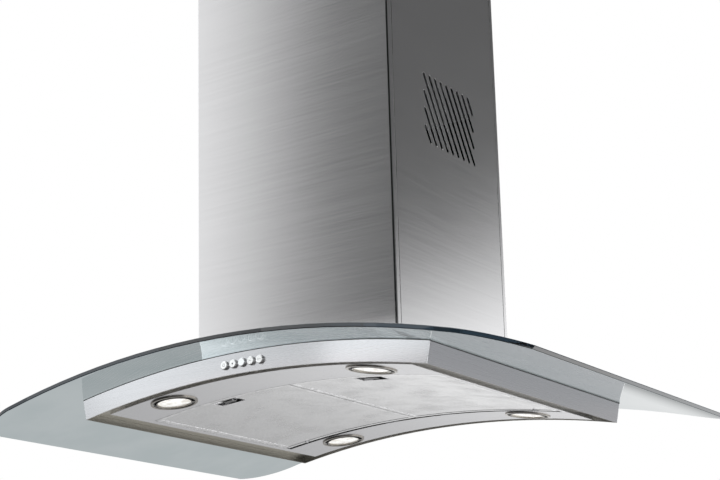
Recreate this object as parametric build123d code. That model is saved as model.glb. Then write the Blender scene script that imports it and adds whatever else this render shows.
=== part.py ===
from build123d import *

import os
from math import asin, cos, radians, sin, sqrt, tan

# Island cooker hood: a bent glass canopy over a shallow arched body, with a telescopic chimney.
# Millimetres. X runs left to right seen from the front, Y from front to rear, Z up.
# The origin is the centre of the ceiling frame's top face, which lies against the ceiling.
# The pieces are modelled about the glass: there z = 0 is the top of the arch on the glass's
# underside, and "depth" is the distance below that arch, measured square to it. "s" is the arc
# length along the glass's underside from its middle, positive to the right.

# ---- allowances ----
SEAT = 0.2                   # gap between pieces that lie on each other
SCREW_CLEARANCE = 0.05       # round a screw in its hole
PRESS_GAP = 0.02             # round a pin that is pressed into its seat
OVER = 1.0                   # how far a cutter starts before and ends after what it cuts
SPILL = 9.0                  # the same where nothing else is near
CUT_REACH = 60.0             # reach of cutters up and down through the canopy's layers

# ---- glass canopy ----
GLASS_WIDTH = 898.0          # straight across, between the side edges
GLASS_DEPTH = 698.0          # front to rear
GLASS_THICKNESS = 6.0
GLASS_RADIUS = 1488.0        # bend radius of the underside
GLASS_CORNER_RADIUS = 82.0
GLASS_EDGE_ROUND = 1.2
GLASS_CORNER_REACH = 4.0     # the corners' outline past the side edges
AIRWAY_WIDTH = 250.0         # opening in the glass, the deck and the base plate
AIRWAY_DEPTH = 206.0
AIRWAY_CORNER_RADIUS = 18.0
GASKET = 1.5                 # thickness of the rubber under and over the glass
GASKET_STRIP = 11.0          # width of the gasket strips

# ---- arched body under the glass ----
GLASS_SIDE_REACH = 152.0     # how far the glass stands out past the body at each side
GLASS_END_REACH = 78.0       # and at the front and rear
BODY_HEIGHT = 30.5           # glass underside to the walls' lower edge
BODY_SHEET = 1.2
WALL_FLANGE = 13.0           # top flange of the walls, turned inwards
RIM_RECESS = 10.0            # height of the shadow gap round the inner panel
CHANNEL_SIDE = 34.0          # width of the shadow gap at the left and right
CHANNEL_END = 16.5           # width of the shadow gap at the front and rear
RIM_INNER_LAP = 9.0          # how far the rim frame reaches in over the inner panel
CORNER_SEAM = 0.4            # open seam between the front and side walls

# ---- grease filters ----
PANEL_SIDE_LAND = 9.0        # inner panel's strip beside the filters
PANEL_END_LAND = 88.0        # inner panel's front and rear strips, from the filters' ends
FILTER_THICKNESS = 9.0
FILTER_BORDER = 7.0
FILTER_LIP = 1.0             # sheet under the mesh at the frame's edge
FILTER_SIDE_GAP = 1.0        # to the middle line, to the panel's sides and to its front edge
FILTER_REAR_GAP = 8.0
MESH_FIT = 0.4
MESH_SKIN = 1.2              # thickness of the folded mesh pack's bottom and sides
HINGE_SIDE_INSET = 26.0      # middle of a filter's hinge in from the filter's outer side
HINGE_INSET = 3.0            # hinge axis in from the filter's rear edge
HINGE_BOSS_LENGTH = 36.0
HINGE_PIN_RADIUS = 1.5
HINGE_PIN_CLEARANCE = 0.05
HINGE_EAR = 2.0              # thickness of the ears that hold the pin
HINGE_EAR_RADIUS = 3.4
HINGE_SIDE_GAP = 0.5
HINGE_NOTCH_GAP = 0.6        # round the ears, in the filter's frame
HINGE_EAR_REACH = 10.0       # from the filter bay's rear edge to the back of an ear's foot
HINGE_EAR_RISE = 2.0         # how far the ears' back stands over their knuckle
HINGE_EAR_ROOT = 0.3         # how deep the ears' foot runs into the panel
HINGE_EAR_STEP = 0.5         # undercut in front of the foot
REST_TONGUE_S = 52.0         # tongue that carries the filter's inner rear corner
REST_TONGUE_WIDTH = 24.0
REST_TONGUE_REACH = 5.0
REST_TONGUE_SHEET = 1.0
REST_TONGUE_ROOT = 2.0       # tongue's length inside the filter's frame

# ---- filter latches ----
LATCH_WIDTH = 46.0
LATCH_LENGTH = 26.0
LATCH_FRONT = 9.0            # from the filter's front edge to the latch housing
LATCH_WALL = 1.5
LATCH_PULL_WIDTH = 18.0
LATCH_PULL_LENGTH = 10.0
LATCH_PULL_SHEET = 1.2
LATCH_TRAVEL = 5.0
LATCH_BOLT_WIDTH = 12.0
LATCH_BOLT_THICKNESS = 2.0
LATCH_BOLT_FIT = 0.2
LATCH_BOLT_WAY = 1.0         # free at each side of the bolt through the mesh
LATCH_TOP_GAP = 1.0          # housing's top under the filter's top
LATCH_PULL_RECESS = 0.3      # finger pull's face in from the housing's lower edge
LATCH_PLATE_DEPTH = 3.0      # from the filter's underside up to the sliding plate

# ---- lamps ----
LAMP_SIDE_INSET = 90.0       # lamp's middle in from the inner panel's side
LAMP_END_INSET = 40.5        # and from its front or rear edge
LAMP_RING_RADIUS = 34.5
LAMP_RING_PROUD = 2.0
LAMP_RING_WIDTH = 4.0
LAMP_CAN_RADIUS = 29.8
LAMP_CAN_HEIGHT = 22.0
LAMP_CAN_SHEET = 1.0
LAMP_HOLE_RADIUS = 30.2
LAMP_LENS_RADIUS = 24.4
LAMP_LENS_THICKNESS = 2.4
LAMP_LENS_DOME = 1.6
LAMP_COLLAR_SHEET = 1.3      # inner ring that grips the lens
LAMP_COLLAR_HEIGHT = 7.0
LAMP_FIT = 0.25
SPOKE_WIDTH = 4.0            # three bridges between the lamp's ring and its collar
SPOKE_THICKNESS = 0.8
SPOKE_DEPTH = -0.5           # their top, under the panel
SPOKE_COUNT = 3
SPOKE_START = 45.0           # degrees, direction of the first one
SPOKE_ROOT = 0.5             # how far a bridge runs into the ring and the collar
BULB_RADIUS = 5.5
BULB_GAP = 2.5               # between the lens and the bulb
BULB_SOCKET_WALL = 1.0
BULB_LENGTH = 9.0

# ---- push buttons ----
BUTTON_NAMES = ("light", "stop", "speed_1", "speed_2", "speed_3")
MIDDLE_BUTTON = 2            # its place in the row
BUTTON_PITCH = 15.4
BUTTON_RADIUS = 5.8
BUTTON_FIT = 0.25            # round the cap in the front panel
BUTTON_PROUD = 3.6
BUTTON_TRAVEL = 2.0
BUTTON_DEPTH = 16.2          # of the buttons' axes below the glass
BUTTON_EDGE_ROUND = 0.9
BUTTON_INNER = 0.5           # cap behind the front panel
NOTCH_MARGIN = 0.8           # round the caps in the rim frame
STEM_RADIUS = 1.6
STEM_CLEARANCE = 0.06
SWITCH_AIR = 0.3             # left between stem and switch when a button is pressed home
SWITCH_BLOCK_UP = 9.5        # block over the stems' axes
SWITCH_BLOCK_DOWN = 2.6      # block under the stems' axes
SWITCH_BLOCK_THICKNESS = 6.0
SWITCH_BLOCK_MARGIN = 11.0
SWITCH_FOOT = 7.0
SWITCH_BLOCK_GAP = 1.0       # between a pressed cap and the block
SWITCH_SIZE = 6.0
SWITCH_DROP = 2.0            # switch's lower edge under the stem's axis
BOARD_THICKNESS = 1.6
BOARD_GAP = 6.5              # switch block to board
SWITCH_HEIGHT = 2.2

# ---- chimney ----
CHIMNEY_WIDTH = 352.0
CHIMNEY_DEPTH = 310.0
CHIMNEY_SHEET = 1.2
CHIMNEY_TOP = 640.0          # lower chimney's top edge above the glass arch
CHIMNEY_LIFT = 0.6           # gap between chimney and glass
CHIMNEY_BLANK = 5.0          # below the glass, before the lower edge is trimmed to the bend
CHIMNEY_RETURN = 10.0        # the front cover's fold onto the side
CHIMNEY_SEAM = 1.2
CHIMNEY_FOLD = 3.0           # outer radius of the folds at the corners
JOGGLE_LAP = 7.0             # strip behind the seam
UPPER_GAP = 2.0              # between the two chimneys
UPPER_SHEET = 1.0
UPPER_FOLD = 1.6             # outer radius of the upper chimney's folds
UPPER_SEAM = 0.6             # between its front and rear halves
UPPER_TOP_GAP = 0.5          # between the upper chimney and the ceiling
UPPER_BOTTOM = 432.0         # upper chimney's lower edge when closed
CEILING_HEIGHT = 700.0       # ceiling above the glass arch, closed
HEIGHT_TRAVEL = 160.0

# ---- vent slots in the side covers ----
VENT_HEIGHT = 107.0
VENT_TOP = 428.0
VENT_MIDDLE_Y = 7.5          # the field's middle, behind the chimney's axis
VENT_SLANT = 30.1            # degrees from upright, the top leaning to the front
VENT_PITCH = 15.6
VENT_SLOT_WIDTH = 6.0
VENT_FULL_SLOTS = 6
VENT_CUT_SLOTS = 3           # shortened slots at each side of the field

# ---- telescopic frame ----
UPRIGHT_LEG = 20.0
UPRIGHT_SHEET = 1.5
UPRIGHT_FIT = 0.3
UPRIGHT_WALL_GAP = 6.5       # from the upper chimney's inside to the lower uprights
LOWER_UPRIGHT_TOP = 600.0
UPPER_UPRIGHT_BOTTOM = 322.0
CLAMP_SCREW_RADIUS = 2.5
CLAMP_SCREW_HEIGHT = 560.0
CLAMP_SCREW_INSET = 12.4     # axis in from the upright's corner
CLAMP_SCREW_LENGTH = 10.0
CLAMP_SLOT_WIDTH = 6.0
CLAMP_SLOT_SPARE = 9.0
CLAMP_HEAD_RADIUS = 4.5
CLAMP_HEAD_HEIGHT = 2.8
FOOT_SCREW_RADIUS = 2.5
FOOT_SCREW_SPARE = 5.0       # screw's end below the upright's top
FOOT_NUT_RADIUS = 4.5
FOOT_NUT_HEIGHT = 3.0
FRAME_SHEET = 3.0            # ceiling frame
DUCT_WAY = 190.0             # square opening in the ceiling frame
CEILING_HOLE_RADIUS = 4.5
CEILING_HOLE_X = 240.0       # hole to hole
CEILING_HOLE_Y = 236.0

# ---- blower ----
BASE_SHEET = 2.0
BASE_UPSTAND = 18.0
CLAMP_BOLT_S = 139.0
CLAMP_BOLT_Y = 116.0
CLAMP_BOLT_RADIUS = 3.0
GLASS_HOLE_RADIUS = 6.0
BUSHING_RADIUS = 5.6
CLAMP_HEX_RADIUS = 5.5
CLAMP_HEX_HEIGHT = 4.0
BOX_WIDTH = 296.0
BOX_DEPTH = 250.0
BOX_TOP = 262.0
BOX_SHEET = 1.0
BOX_FLANGE = 12.0
SCROLL_WIDTH = 150.0
SCROLL_SHEET = 1.2
SCROLL_RADIUS = 92.0
SCROLL_AXIS_HEIGHT = 128.0
SCROLL_INLET_RADIUS = 58.0
SCROLL_THROAT = 84.0         # of the outlet, front to rear
IMPELLER_RADIUS = 72.0
IMPELLER_INNER_RADIUS = 58.0
IMPELLER_WIDTH = 132.0
IMPELLER_RING = 2.5
IMPELLER_BLADES = 28
BLADE_THICKNESS = 1.2
BLADE_TURN = 28.0            # degrees off the radius
BLADE_SHARE = 0.9            # of the way between the rings' inner and outer edges
HUB_RADIUS = 12.0
HUB_LENGTH = 12.0
SHAFT_SPARE = 4.0            # shaft past the motor
SHAFT_RADIUS = 4.0
SHAFT_CLEARANCE = 0.05
MOTOR_RADIUS = 42.0
MOTOR_LENGTH = 58.0
MOTOR_GAP = 3.0              # between the motor and the impeller's middle disc
MOTOR_ARM_WIDTH = 12.0
MOTOR_ARM_SHEET = 2.0
MOTOR_ARM_LAP = 9.0          # arms' reach over the scroll's side
MOTOR_EDGE_ROUND = 3.0
MOTOR_NECK_SHARE = 0.6       # neck's radius as a share of the motor's
MOTOR_NECK_ROOT = 4.0
DUCT_RADIUS = 74.5           # outside of the collar, for a 150 mm duct
COLLAR_SHEET = 1.5
COLLAR_HEIGHT = 46.0
COLLAR_FLANGE = 12.0
FLAP_SHEET = 1.0
FLAP_GAP = 0.8
FLAP_PIN_RADIUS = 1.5
FLAP_PIN_CLEARANCE = 0.06
FLAP_BARREL_RADIUS = 3.0
FLAP_PIN_HEIGHT = 22.0       # above the collar's foot
FLAP_PIN_ROOT = 0.5          # pin's ends in from the collar's outside
FLAP_LUG = 4.0               # half the seat's width and height
FLAP_LUG_DEPTH = 4.5
FLAP_STOP_DROP = 2.2         # stop ring's middle under the pin
FLAP_STOP_SHEET = 1.2
FLAP_STOP_WIDTH = 2.5
FLAP_SPLIT = 0.6             # between the barrels and the leaf's straight edge
FLAP_LUG_WAY = 7.0           # how far the leaf is cut back for the pin's seats
FLAP_BARREL_LENGTH = 16.0
FLAP_BARREL_STARTS = (-48.0, 12.0)
TERMINAL_BOX = (46.0, 84.0, 34.0)
TERMINAL_BOX_WALL = 2.0
TERMINAL_BOX_INSET = 2.0     # in from the motor box's side
TERMINAL_BOX_ROUND = 3.0
GLAND_RADIUS = 7.0
GLAND_BORE_RADIUS = 4.0
GLAND_REACH = 7.0
CAPACITOR_RADIUS = 15.0
CAPACITOR_LENGTH = 62.0
CAPACITOR_INSET = 8.0        # in from the motor box's side
CAPACITOR_ROUND = 1.5
SADDLE_HALF_LENGTH = 8.0
SADDLE_SHARE = 0.7           # of the capacitor's radius

# ---- worked out from the sizes above ----
BODY_WIDTH = GLASS_WIDTH - 2 * GLASS_SIDE_REACH
BODY_DEPTH = GLASS_DEPTH - 2 * GLASS_END_REACH
BODY_HALF_S = GLASS_RADIUS * asin(BODY_WIDTH / 2 / GLASS_RADIUS)
BODY_HALF_Y = BODY_DEPTH / 2
GLASS_HALF_S = GLASS_RADIUS * asin(GLASS_WIDTH / 2 / GLASS_RADIUS)
GLASS_TOP = -GLASS_THICKNESS
PANEL_HALF_S = BODY_HALF_S - CHANNEL_SIDE
PANEL_HALF_Y = BODY_HALF_Y - CHANNEL_END
RIM_UNDERSIDE = BODY_HEIGHT - RIM_RECESS
PANEL_TOP = BODY_HEIGHT - BODY_SHEET
FILTER_LENGTH = 2 * (PANEL_HALF_Y - PANEL_END_LAND)
FILTER_FRONT = -FILTER_LENGTH / 2
FILTER_REAR = FILTER_LENGTH / 2
BAY_FRONT = FILTER_FRONT - FILTER_SIDE_GAP
BAY_REAR = FILTER_REAR + FILTER_REAR_GAP
BAY_HALF_S = PANEL_HALF_S - PANEL_SIDE_LAND
FILTER_WIDTH = BAY_HALF_S - 2 * FILTER_SIDE_GAP
HINGE_MIDDLE_X = FILTER_WIDTH - HINGE_SIDE_INSET
LAMP_S = PANEL_HALF_S - LAMP_SIDE_INSET
LAMP_Y = PANEL_HALF_Y - LAMP_END_INSET
DECK_UNDERSIDE = GASKET + BODY_SHEET + SEAT + BODY_SHEET
BASE_UNDERSIDE = GLASS_TOP - GASKET
COVER_HALF_X = CHIMNEY_WIDTH / 2
COVER_HALF_Y = CHIMNEY_DEPTH / 2
INNER_HALF_X = COVER_HALF_X - CHIMNEY_SHEET
INNER_HALF_Y = COVER_HALF_Y - CHIMNEY_SHEET
UPPER_HALF_X = INNER_HALF_X - UPPER_GAP
UPPER_HALF_Y = INNER_HALF_Y - UPPER_GAP
POST_HALF_X = UPPER_HALF_X - UPPER_SHEET - UPRIGHT_WALL_GAP
POST_HALF_Y = UPPER_HALF_Y - UPPER_SHEET - UPRIGHT_WALL_GAP
TAPER = tan(radians(VENT_SLANT))


# ---- shared shapes ----
def block(x0, x1, y0, y1, z0, z1):
    """Box between two corners."""
    return Pos((x0 + x1) / 2, (y0 + y1) / 2, (z0 + z1) / 2) * Box(x1 - x0, y1 - y0, z1 - z0)


def rod(start, direction, radius, length):
    """Cylinder from a start point along a direction."""
    return Plane(origin=start, z_dir=direction) * Cylinder(
        radius, length, align=(Align.CENTER, Align.CENTER, Align.MIN))


def height_at(x, depth):
    """Height of the arch at x, for a surface at this depth under the glass."""
    return sqrt((GLASS_RADIUS - depth) ** 2 - x * x) - GLASS_RADIUS


def arch(s0, s1, y0, y1, depth_low, depth_high):
    """Curved slab between two arc lengths, two places front to rear and two depths."""
    low, high = GLASS_RADIUS - depth_low, GLASS_RADIUS - depth_high
    a0, a1 = s0 / GLASS_RADIUS, s1 / GLASS_RADIUS

    def at(radius, angle):
        return (radius * sin(angle), y0, radius * cos(angle) - GLASS_RADIUS)

    middle = (a0 + a1) / 2
    outline = Wire([
        Edge.make_three_point_arc(at(high, a0), at(high, middle), at(high, a1)),
        Edge.make_line(at(high, a1), at(low, a1)),
        Edge.make_three_point_arc(at(low, a1), at(low, middle), at(low, a0)),
        Edge.make_line(at(low, a0), at(high, a0)),
    ])
    return Part() + Solid.extrude(Face(outline), Vector(0, y1 - y0, 0))


def arch_ring(half_s, half_y, lap_s, lap_y, depth_low, depth_high):
    """Rectangular frame bent to the arch, as wide as lap_s at its sides and lap_y at its ends."""
    return arch(-half_s, half_s, -half_y, half_y, depth_low, depth_high) - arch(
        lap_s - half_s, half_s - lap_s, lap_y - half_y, half_y - lap_y, depth_low + OVER, depth_high - OVER)


def on_arch(s, y, depth):
    """Place on the arch, with its own Z square to the glass and pointing up."""
    angle, radius = s / GLASS_RADIUS, GLASS_RADIUS - depth
    return Plane(origin=(radius * sin(angle), y, radius * cos(angle) - GLASS_RADIUS),
                 x_dir=(cos(angle), 0, -sin(angle)), z_dir=(sin(angle), 0, cos(angle)))


def upright_prism(width, length, corner_radius, z0, z1):
    """Upright block with rounded corners, centred on the chimney's axis."""
    outline = RectangleRounded(width, length, corner_radius)
    return Pos(0, 0, z0) * extrude(outline, amount=z1 - z0)


def airway_cut():
    """The way for the air through the deck, the gaskets, the glass and the base plate."""
    return upright_prism(AIRWAY_WIDTH, AIRWAY_DEPTH, AIRWAY_CORNER_RADIUS, -CUT_REACH, CUT_REACH)


def clamp_places(depth):
    """Places of the four clamp bolts at a depth."""
    return [on_arch(side * CLAMP_BOLT_S, end * CLAMP_BOLT_Y, depth) for side in (-1, 1) for end in (-1, 1)]


def clamp_holes(radius):
    """Drills for the four clamp bolts, through everything from the deck to the base plate."""
    return [place * Cylinder(radius, CUT_REACH) for place in clamp_places(0)]


def mirrored(shape):
    """The same shape on the other side of the middle plane."""
    return mirror(shape, about=Plane.YZ)


# ---- glass, gaskets and their bolts ----
def glass_canopy():
    """Bent sheet with rounded corners, the airway and the holes for the clamp bolts."""
    sheet = arch(-GLASS_HALF_S, GLASS_HALF_S, -GLASS_DEPTH / 2, GLASS_DEPTH / 2, 0, GLASS_TOP)
    outline = upright_prism(GLASS_WIDTH + 2 * GLASS_CORNER_REACH, GLASS_DEPTH, GLASS_CORNER_RADIUS,
                            -GLASS_WIDTH / 2, CUT_REACH)
    sheet = sheet & outline
    rim = [e for e in sheet.edges() if e.length > GLASS_CORNER_RADIUS / 2]
    sheet = fillet(rim, GLASS_EDGE_ROUND)
    return sheet - airway_cut() - clamp_holes(GLASS_HOLE_RADIUS)


def glass_gasket_lower():
    """Rubber strip between the walls' top flanges and the glass."""
    return arch_ring(BODY_HALF_S, BODY_HALF_Y, GASKET_STRIP, GASKET_STRIP, GASKET - SEAT / 2, SEAT)


def glass_gasket_upper():
    """Rubber strip between the glass and the blower's base plate, round the airway."""
    strip = arch(-INNER_HALF_X + GASKET_STRIP, INNER_HALF_X - GASKET_STRIP, -INNER_HALF_Y + GASKET_STRIP,
                 INNER_HALF_Y - GASKET_STRIP, GLASS_TOP - SEAT / 2, BASE_UNDERSIDE + SEAT / 2)
    return strip - airway_cut() - clamp_holes(GLASS_HOLE_RADIUS)


def glass_bushings():
    """Four plastic sleeves that keep the bolts off the glass."""
    length = GLASS_THICKNESS + 2 * GASKET - 2 * SEAT
    middle = (GASKET + BASE_UNDERSIDE) / 2
    return [place * (Cylinder(BUSHING_RADIUS, length) - Cylinder(CLAMP_BOLT_RADIUS + SEAT, 2 * length))
            for place in clamp_places(middle)]


def glass_clamp_bolts():
    """Four bolts from under the deck up through the base plate, each with its head and nut."""
    under, over = DECK_UNDERSIDE + SEAT, BASE_UNDERSIDE - BASE_SHEET - SEAT
    bolts = []
    for place in clamp_places(under):
        length = under - over + CLAMP_HEX_HEIGHT + 2 * OVER
        shank = Cylinder(CLAMP_BOLT_RADIUS, length, align=(Align.CENTER, Align.CENTER, Align.MIN))
        head = extrude(RegularPolygon(CLAMP_HEX_RADIUS, 6), amount=-CLAMP_HEX_HEIGHT)
        nut = Pos(0, 0, under - over) * extrude(RegularPolygon(CLAMP_HEX_RADIUS, 6), amount=CLAMP_HEX_HEIGHT)
        bolts.append(place * (shank + head + nut))
    return bolts


# ---- body ----
def end_wall(rear):
    """Front or rear wall with its top flange."""
    outer, inner = -BODY_HALF_Y, -BODY_HALF_Y + BODY_SHEET
    wall = arch(-BODY_HALF_S, BODY_HALF_S, outer, inner, BODY_HEIGHT, GASKET)
    inset = BODY_SHEET + CORNER_SEAM
    flange = arch(-BODY_HALF_S + inset, BODY_HALF_S - inset, outer, outer + WALL_FLANGE,
                  GASKET + BODY_SHEET, GASKET)
    wall = wall + flange
    return mirror(wall, about=Plane.XZ) if rear else wall


def button_s(index):
    """Arc length of a button's axis from the middle of the front panel."""
    return (index - (len(BUTTON_NAMES) - 1) / 2) * BUTTON_PITCH


def button_axis(index):
    """Point on a button's axis in the front panel's outer face."""
    angle, radius = button_s(index) / GLASS_RADIUS, GLASS_RADIUS - BUTTON_DEPTH
    return Vector(radius * sin(angle), -BODY_HALF_Y, radius * cos(angle) - GLASS_RADIUS)


def body_front_panel():
    """Front wall with a round hole for each button."""
    length = BODY_SHEET + 2 * OVER
    holes = [rod(button_axis(i) - Vector(0, OVER, 0), (0, 1, 0), BUTTON_RADIUS + BUTTON_FIT, length)
             for i in range(len(BUTTON_NAMES))]
    return end_wall(False) - holes


def body_side_panel():
    """Right wall between the end walls, with its top flange."""
    end = BODY_HALF_Y - BODY_SHEET - CORNER_SEAM
    wall = arch(BODY_HALF_S - BODY_SHEET, BODY_HALF_S, -end, end, BODY_HEIGHT, GASKET)
    flange_end = BODY_HALF_Y - WALL_FLANGE - CORNER_SEAM
    flange = arch(BODY_HALF_S - WALL_FLANGE, BODY_HALF_S, -flange_end, flange_end,
                  GASKET + BODY_SHEET, GASKET)
    return wall + flange


def body_top_deck():
    """Arched plate that closes the body under the glass, with the airway and the bolt holes."""
    inset = BODY_SHEET + SEAT
    deck = arch(-BODY_HALF_S + inset, BODY_HALF_S - inset, -BODY_HALF_Y + inset, BODY_HALF_Y - inset,
                DECK_UNDERSIDE, DECK_UNDERSIDE - BODY_SHEET)
    raised = arch(-INNER_HALF_X, INNER_HALF_X, -INNER_HALF_Y, INNER_HALF_Y,
                  DECK_UNDERSIDE - BODY_SHEET, GASKET)
    return deck + raised - airway_cut() - clamp_holes(CLAMP_BOLT_RADIUS + SEAT)


def body_rim_frame():
    """Arched frame over the shadow gap: it joins the walls to the inner panel's skirt."""
    inset = BODY_SHEET + SEAT
    ring = arch_ring(BODY_HALF_S - inset, BODY_HALF_Y - inset, CHANNEL_SIDE - inset + RIM_INNER_LAP,
                     CHANNEL_END - inset + RIM_INNER_LAP, RIM_UNDERSIDE, RIM_UNDERSIDE - BODY_SHEET)
    notch_half = -button_s(0) + BUTTON_RADIUS + NOTCH_MARGIN
    notch_reach = BODY_SHEET + BUTTON_INNER + BUTTON_TRAVEL + NOTCH_MARGIN
    return ring - block(-notch_half, notch_half, -BODY_HALF_Y, -BODY_HALF_Y + notch_reach, -BODY_HEIGHT, 0)


def hinge_height():
    """Height of a filter's hinge axis: the middle of the frame's thickness at the hinge."""
    return height_at(HINGE_MIDDLE_X, BODY_HEIGHT - FILTER_THICKNESS / 2)


def hinge_y():
    """Place of the hinge axis front to rear."""
    return FILTER_REAR - HINGE_INSET


def hinge_ears():
    """The two ears behind the right filter that hold its hinge pin."""
    ears = []
    front, reach = BAY_REAR + SEAT, BAY_REAR + HINGE_EAR_REACH
    for side in (-1, 1):
        inner = HINGE_MIDDLE_X + side * (HINGE_BOSS_LENGTH / 2 + HINGE_SIDE_GAP)
        x0, x1 = sorted((inner, inner + side * HINGE_EAR))
        foot = height_at(x1, PANEL_TOP) - HINGE_EAR_ROOT
        y, z = hinge_y(), hinge_height()
        knuckle_top = z + HINGE_EAR_RADIUS
        top = knuckle_top + HINGE_EAR_RISE
        outline = Polyline((y, z), (y, knuckle_top), (BAY_REAR + OVER, top), (reach, top), (reach, foot),
                           (front, foot), (front, z + HINGE_EAR_STEP), close=True)
        plate = extrude(Plane.YZ.offset(x0) * make_face(outline), amount=x1 - x0)
        knuckle = rod((x0, y, z), (1, 0, 0), HINGE_EAR_RADIUS, x1 - x0)
        hole = rod((x0 - OVER, y, z), (1, 0, 0), HINGE_PIN_RADIUS + PRESS_GAP, x1 - x0 + 2 * OVER)
        ears.append(plate + knuckle - hole)
    return ears


def lamp_places(depth):
    """Names and places of the four lamps."""
    places = {}
    for end_name, end in (("front", -1), ("rear", 1)):
        for side_name, side in (("left", -1), ("right", 1)):
            places[f"{end_name}_{side_name}"] = on_arch(side * LAMP_S, end * LAMP_Y, depth)
    return places


def lamp_panel():
    """Inner panel flush with the walls' lower edges: skirt, filter bay, lamp holes, hinge ears."""
    plate = arch(-PANEL_HALF_S, PANEL_HALF_S, -PANEL_HALF_Y, PANEL_HALF_Y, BODY_HEIGHT, PANEL_TOP)
    skirt = arch_ring(PANEL_HALF_S, PANEL_HALF_Y, BODY_SHEET, BODY_SHEET, BODY_HEIGHT, RIM_UNDERSIDE + SEAT)
    bay = arch(-BAY_HALF_S, BAY_HALF_S, BAY_FRONT, BAY_REAR, BODY_HEIGHT + 2 * OVER, PANEL_TOP - 2 * OVER)
    edge_top = BODY_HEIGHT - FILTER_THICKNESS
    front_edge = arch(-BAY_HALF_S, BAY_HALF_S, BAY_FRONT - BODY_SHEET, BAY_FRONT, BODY_HEIGHT, edge_top)
    side_edge = arch(BAY_HALF_S, BAY_HALF_S + BODY_SHEET, BAY_FRONT - BODY_SHEET, BAY_REAR,
                     BODY_HEIGHT, edge_top)
    ears = hinge_ears()
    panel = plate + skirt - bay + front_edge + side_edge + mirrored(side_edge)
    panel = panel + ears + [mirrored(ear) for ear in ears]
    hole = Cylinder(LAMP_HOLE_RADIUS, BODY_HEIGHT)
    return panel - [place * hole for place in lamp_places(BODY_HEIGHT).values()]


# ---- filters ----
def filter_outline(border, y0, y1, depth_low, depth_high):
    """Right filter's area less a border, between two places front to rear; its outer side is upright."""
    far = BAY_HALF_S + FILTER_SIDE_GAP
    slab = arch(FILTER_SIDE_GAP + border, far, y0, y1, depth_low, depth_high)
    outer_x = (GLASS_RADIUS - BODY_HEIGHT) * sin(BAY_HALF_S / GLASS_RADIUS) - FILTER_SIDE_GAP - border
    return slab & block(-SPILL, outer_x, y0 - OVER, y1 + OVER, -2 * CUT_REACH, CUT_REACH)


def filter_middle_s():
    """Arc length of the right filter's middle."""
    return FILTER_SIDE_GAP + FILTER_WIDTH / 2


def latch_place(depth):
    """Place of the right filter's latch: its middle, on the filter's underside."""
    return on_arch(filter_middle_s(), FILTER_FRONT + LATCH_FRONT + LATCH_LENGTH / 2, depth)


def filter_frame():
    """Right filter's frame with its lip, hinge boss, hinge notches and rest tongue."""
    top = BODY_HEIGHT - FILTER_THICKNESS
    body = filter_outline(0, FILTER_FRONT, FILTER_REAR, BODY_HEIGHT, top)
    border, lip = FILTER_BORDER, FILTER_LIP
    window = filter_outline(border, FILTER_FRONT + border, FILTER_REAR - border,
                            BODY_HEIGHT + OVER, top - OVER)
    pocket = filter_outline(lip, FILTER_FRONT + lip, FILTER_REAR - border, BODY_HEIGHT - lip, top - OVER)
    frame = body - window - pocket
    y, z = hinge_y(), hinge_height()
    boss_x0, boss_x1 = HINGE_MIDDLE_X - HINGE_BOSS_LENGTH / 2, HINGE_MIDDLE_X + HINGE_BOSS_LENGTH / 2
    barrel = rod((boss_x0, y, z), (1, 0, 0), HINGE_INSET, HINGE_BOSS_LENGTH)
    notches = []
    for x0, x1 in ((boss_x0 - HINGE_EAR - 2 * HINGE_SIDE_GAP, boss_x0),
                   (boss_x1, boss_x1 + HINGE_EAR + 2 * HINGE_SIDE_GAP)):
        notches.append(block(x0, x1, y - HINGE_EAR_RADIUS - HINGE_NOTCH_GAP, FILTER_REAR + SPILL,
                             z - CUT_REACH, z + CUT_REACH))
    bore = rod((boss_x0 - SPILL, y, z), (1, 0, 0), HINGE_PIN_RADIUS + HINGE_PIN_CLEARANCE,
               HINGE_BOSS_LENGTH + 2 * SPILL)
    tongue = arch(REST_TONGUE_S - REST_TONGUE_WIDTH / 2, REST_TONGUE_S + REST_TONGUE_WIDTH / 2,
                  FILTER_REAR - REST_TONGUE_ROOT, BAY_REAR + REST_TONGUE_REACH,
                  PANEL_TOP - SEAT, PANEL_TOP - SEAT - REST_TONGUE_SHEET)
    slot = Pos(0, -LATCH_LENGTH, LATCH_BOLT_THICKNESS / 2) * Box(
        LATCH_BOLT_WIDTH + 2 * LATCH_BOLT_FIT, LATCH_LENGTH, LATCH_BOLT_THICKNESS + 2 * LATCH_BOLT_FIT)
    slot = latch_place(BODY_HEIGHT - LATCH_PLATE_DEPTH) * slot
    return frame + barrel + tongue - notches - bore - slot


def filter_mesh():
    """Right filter's folded aluminium mesh: a shallow tray in the frame, with room for the latch."""
    inset = FILTER_LIP + MESH_FIT
    y0, y1 = FILTER_FRONT + inset, FILTER_REAR - FILTER_BORDER - MESH_FIT
    low, high = BODY_HEIGHT - FILTER_LIP - SEAT, BODY_HEIGHT - FILTER_THICKNESS + SEAT
    skin = MESH_SKIN
    pack = filter_outline(inset, y0, y1, low, high) - filter_outline(
        inset + skin, y0 + skin, y1 - skin, low - skin, high - OVER)
    edge = FILTER_BORDER + MESH_FIT
    face = filter_outline(edge, FILTER_FRONT + edge, FILTER_REAR - edge, BODY_HEIGHT - MESH_FIT,
                          low - skin / 2)
    room = latch_place(BODY_HEIGHT) * Box(LATCH_WIDTH + 2 * MESH_FIT, LATCH_LENGTH + 2 * MESH_FIT, CUT_REACH)
    bolt_way = latch_place(BODY_HEIGHT) * Pos(0, -LATCH_LENGTH / 2, 0) * Box(
        LATCH_BOLT_WIDTH + 2 * LATCH_BOLT_WAY, LATCH_LENGTH, CUT_REACH)
    return pack + face - room - bolt_way


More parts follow.
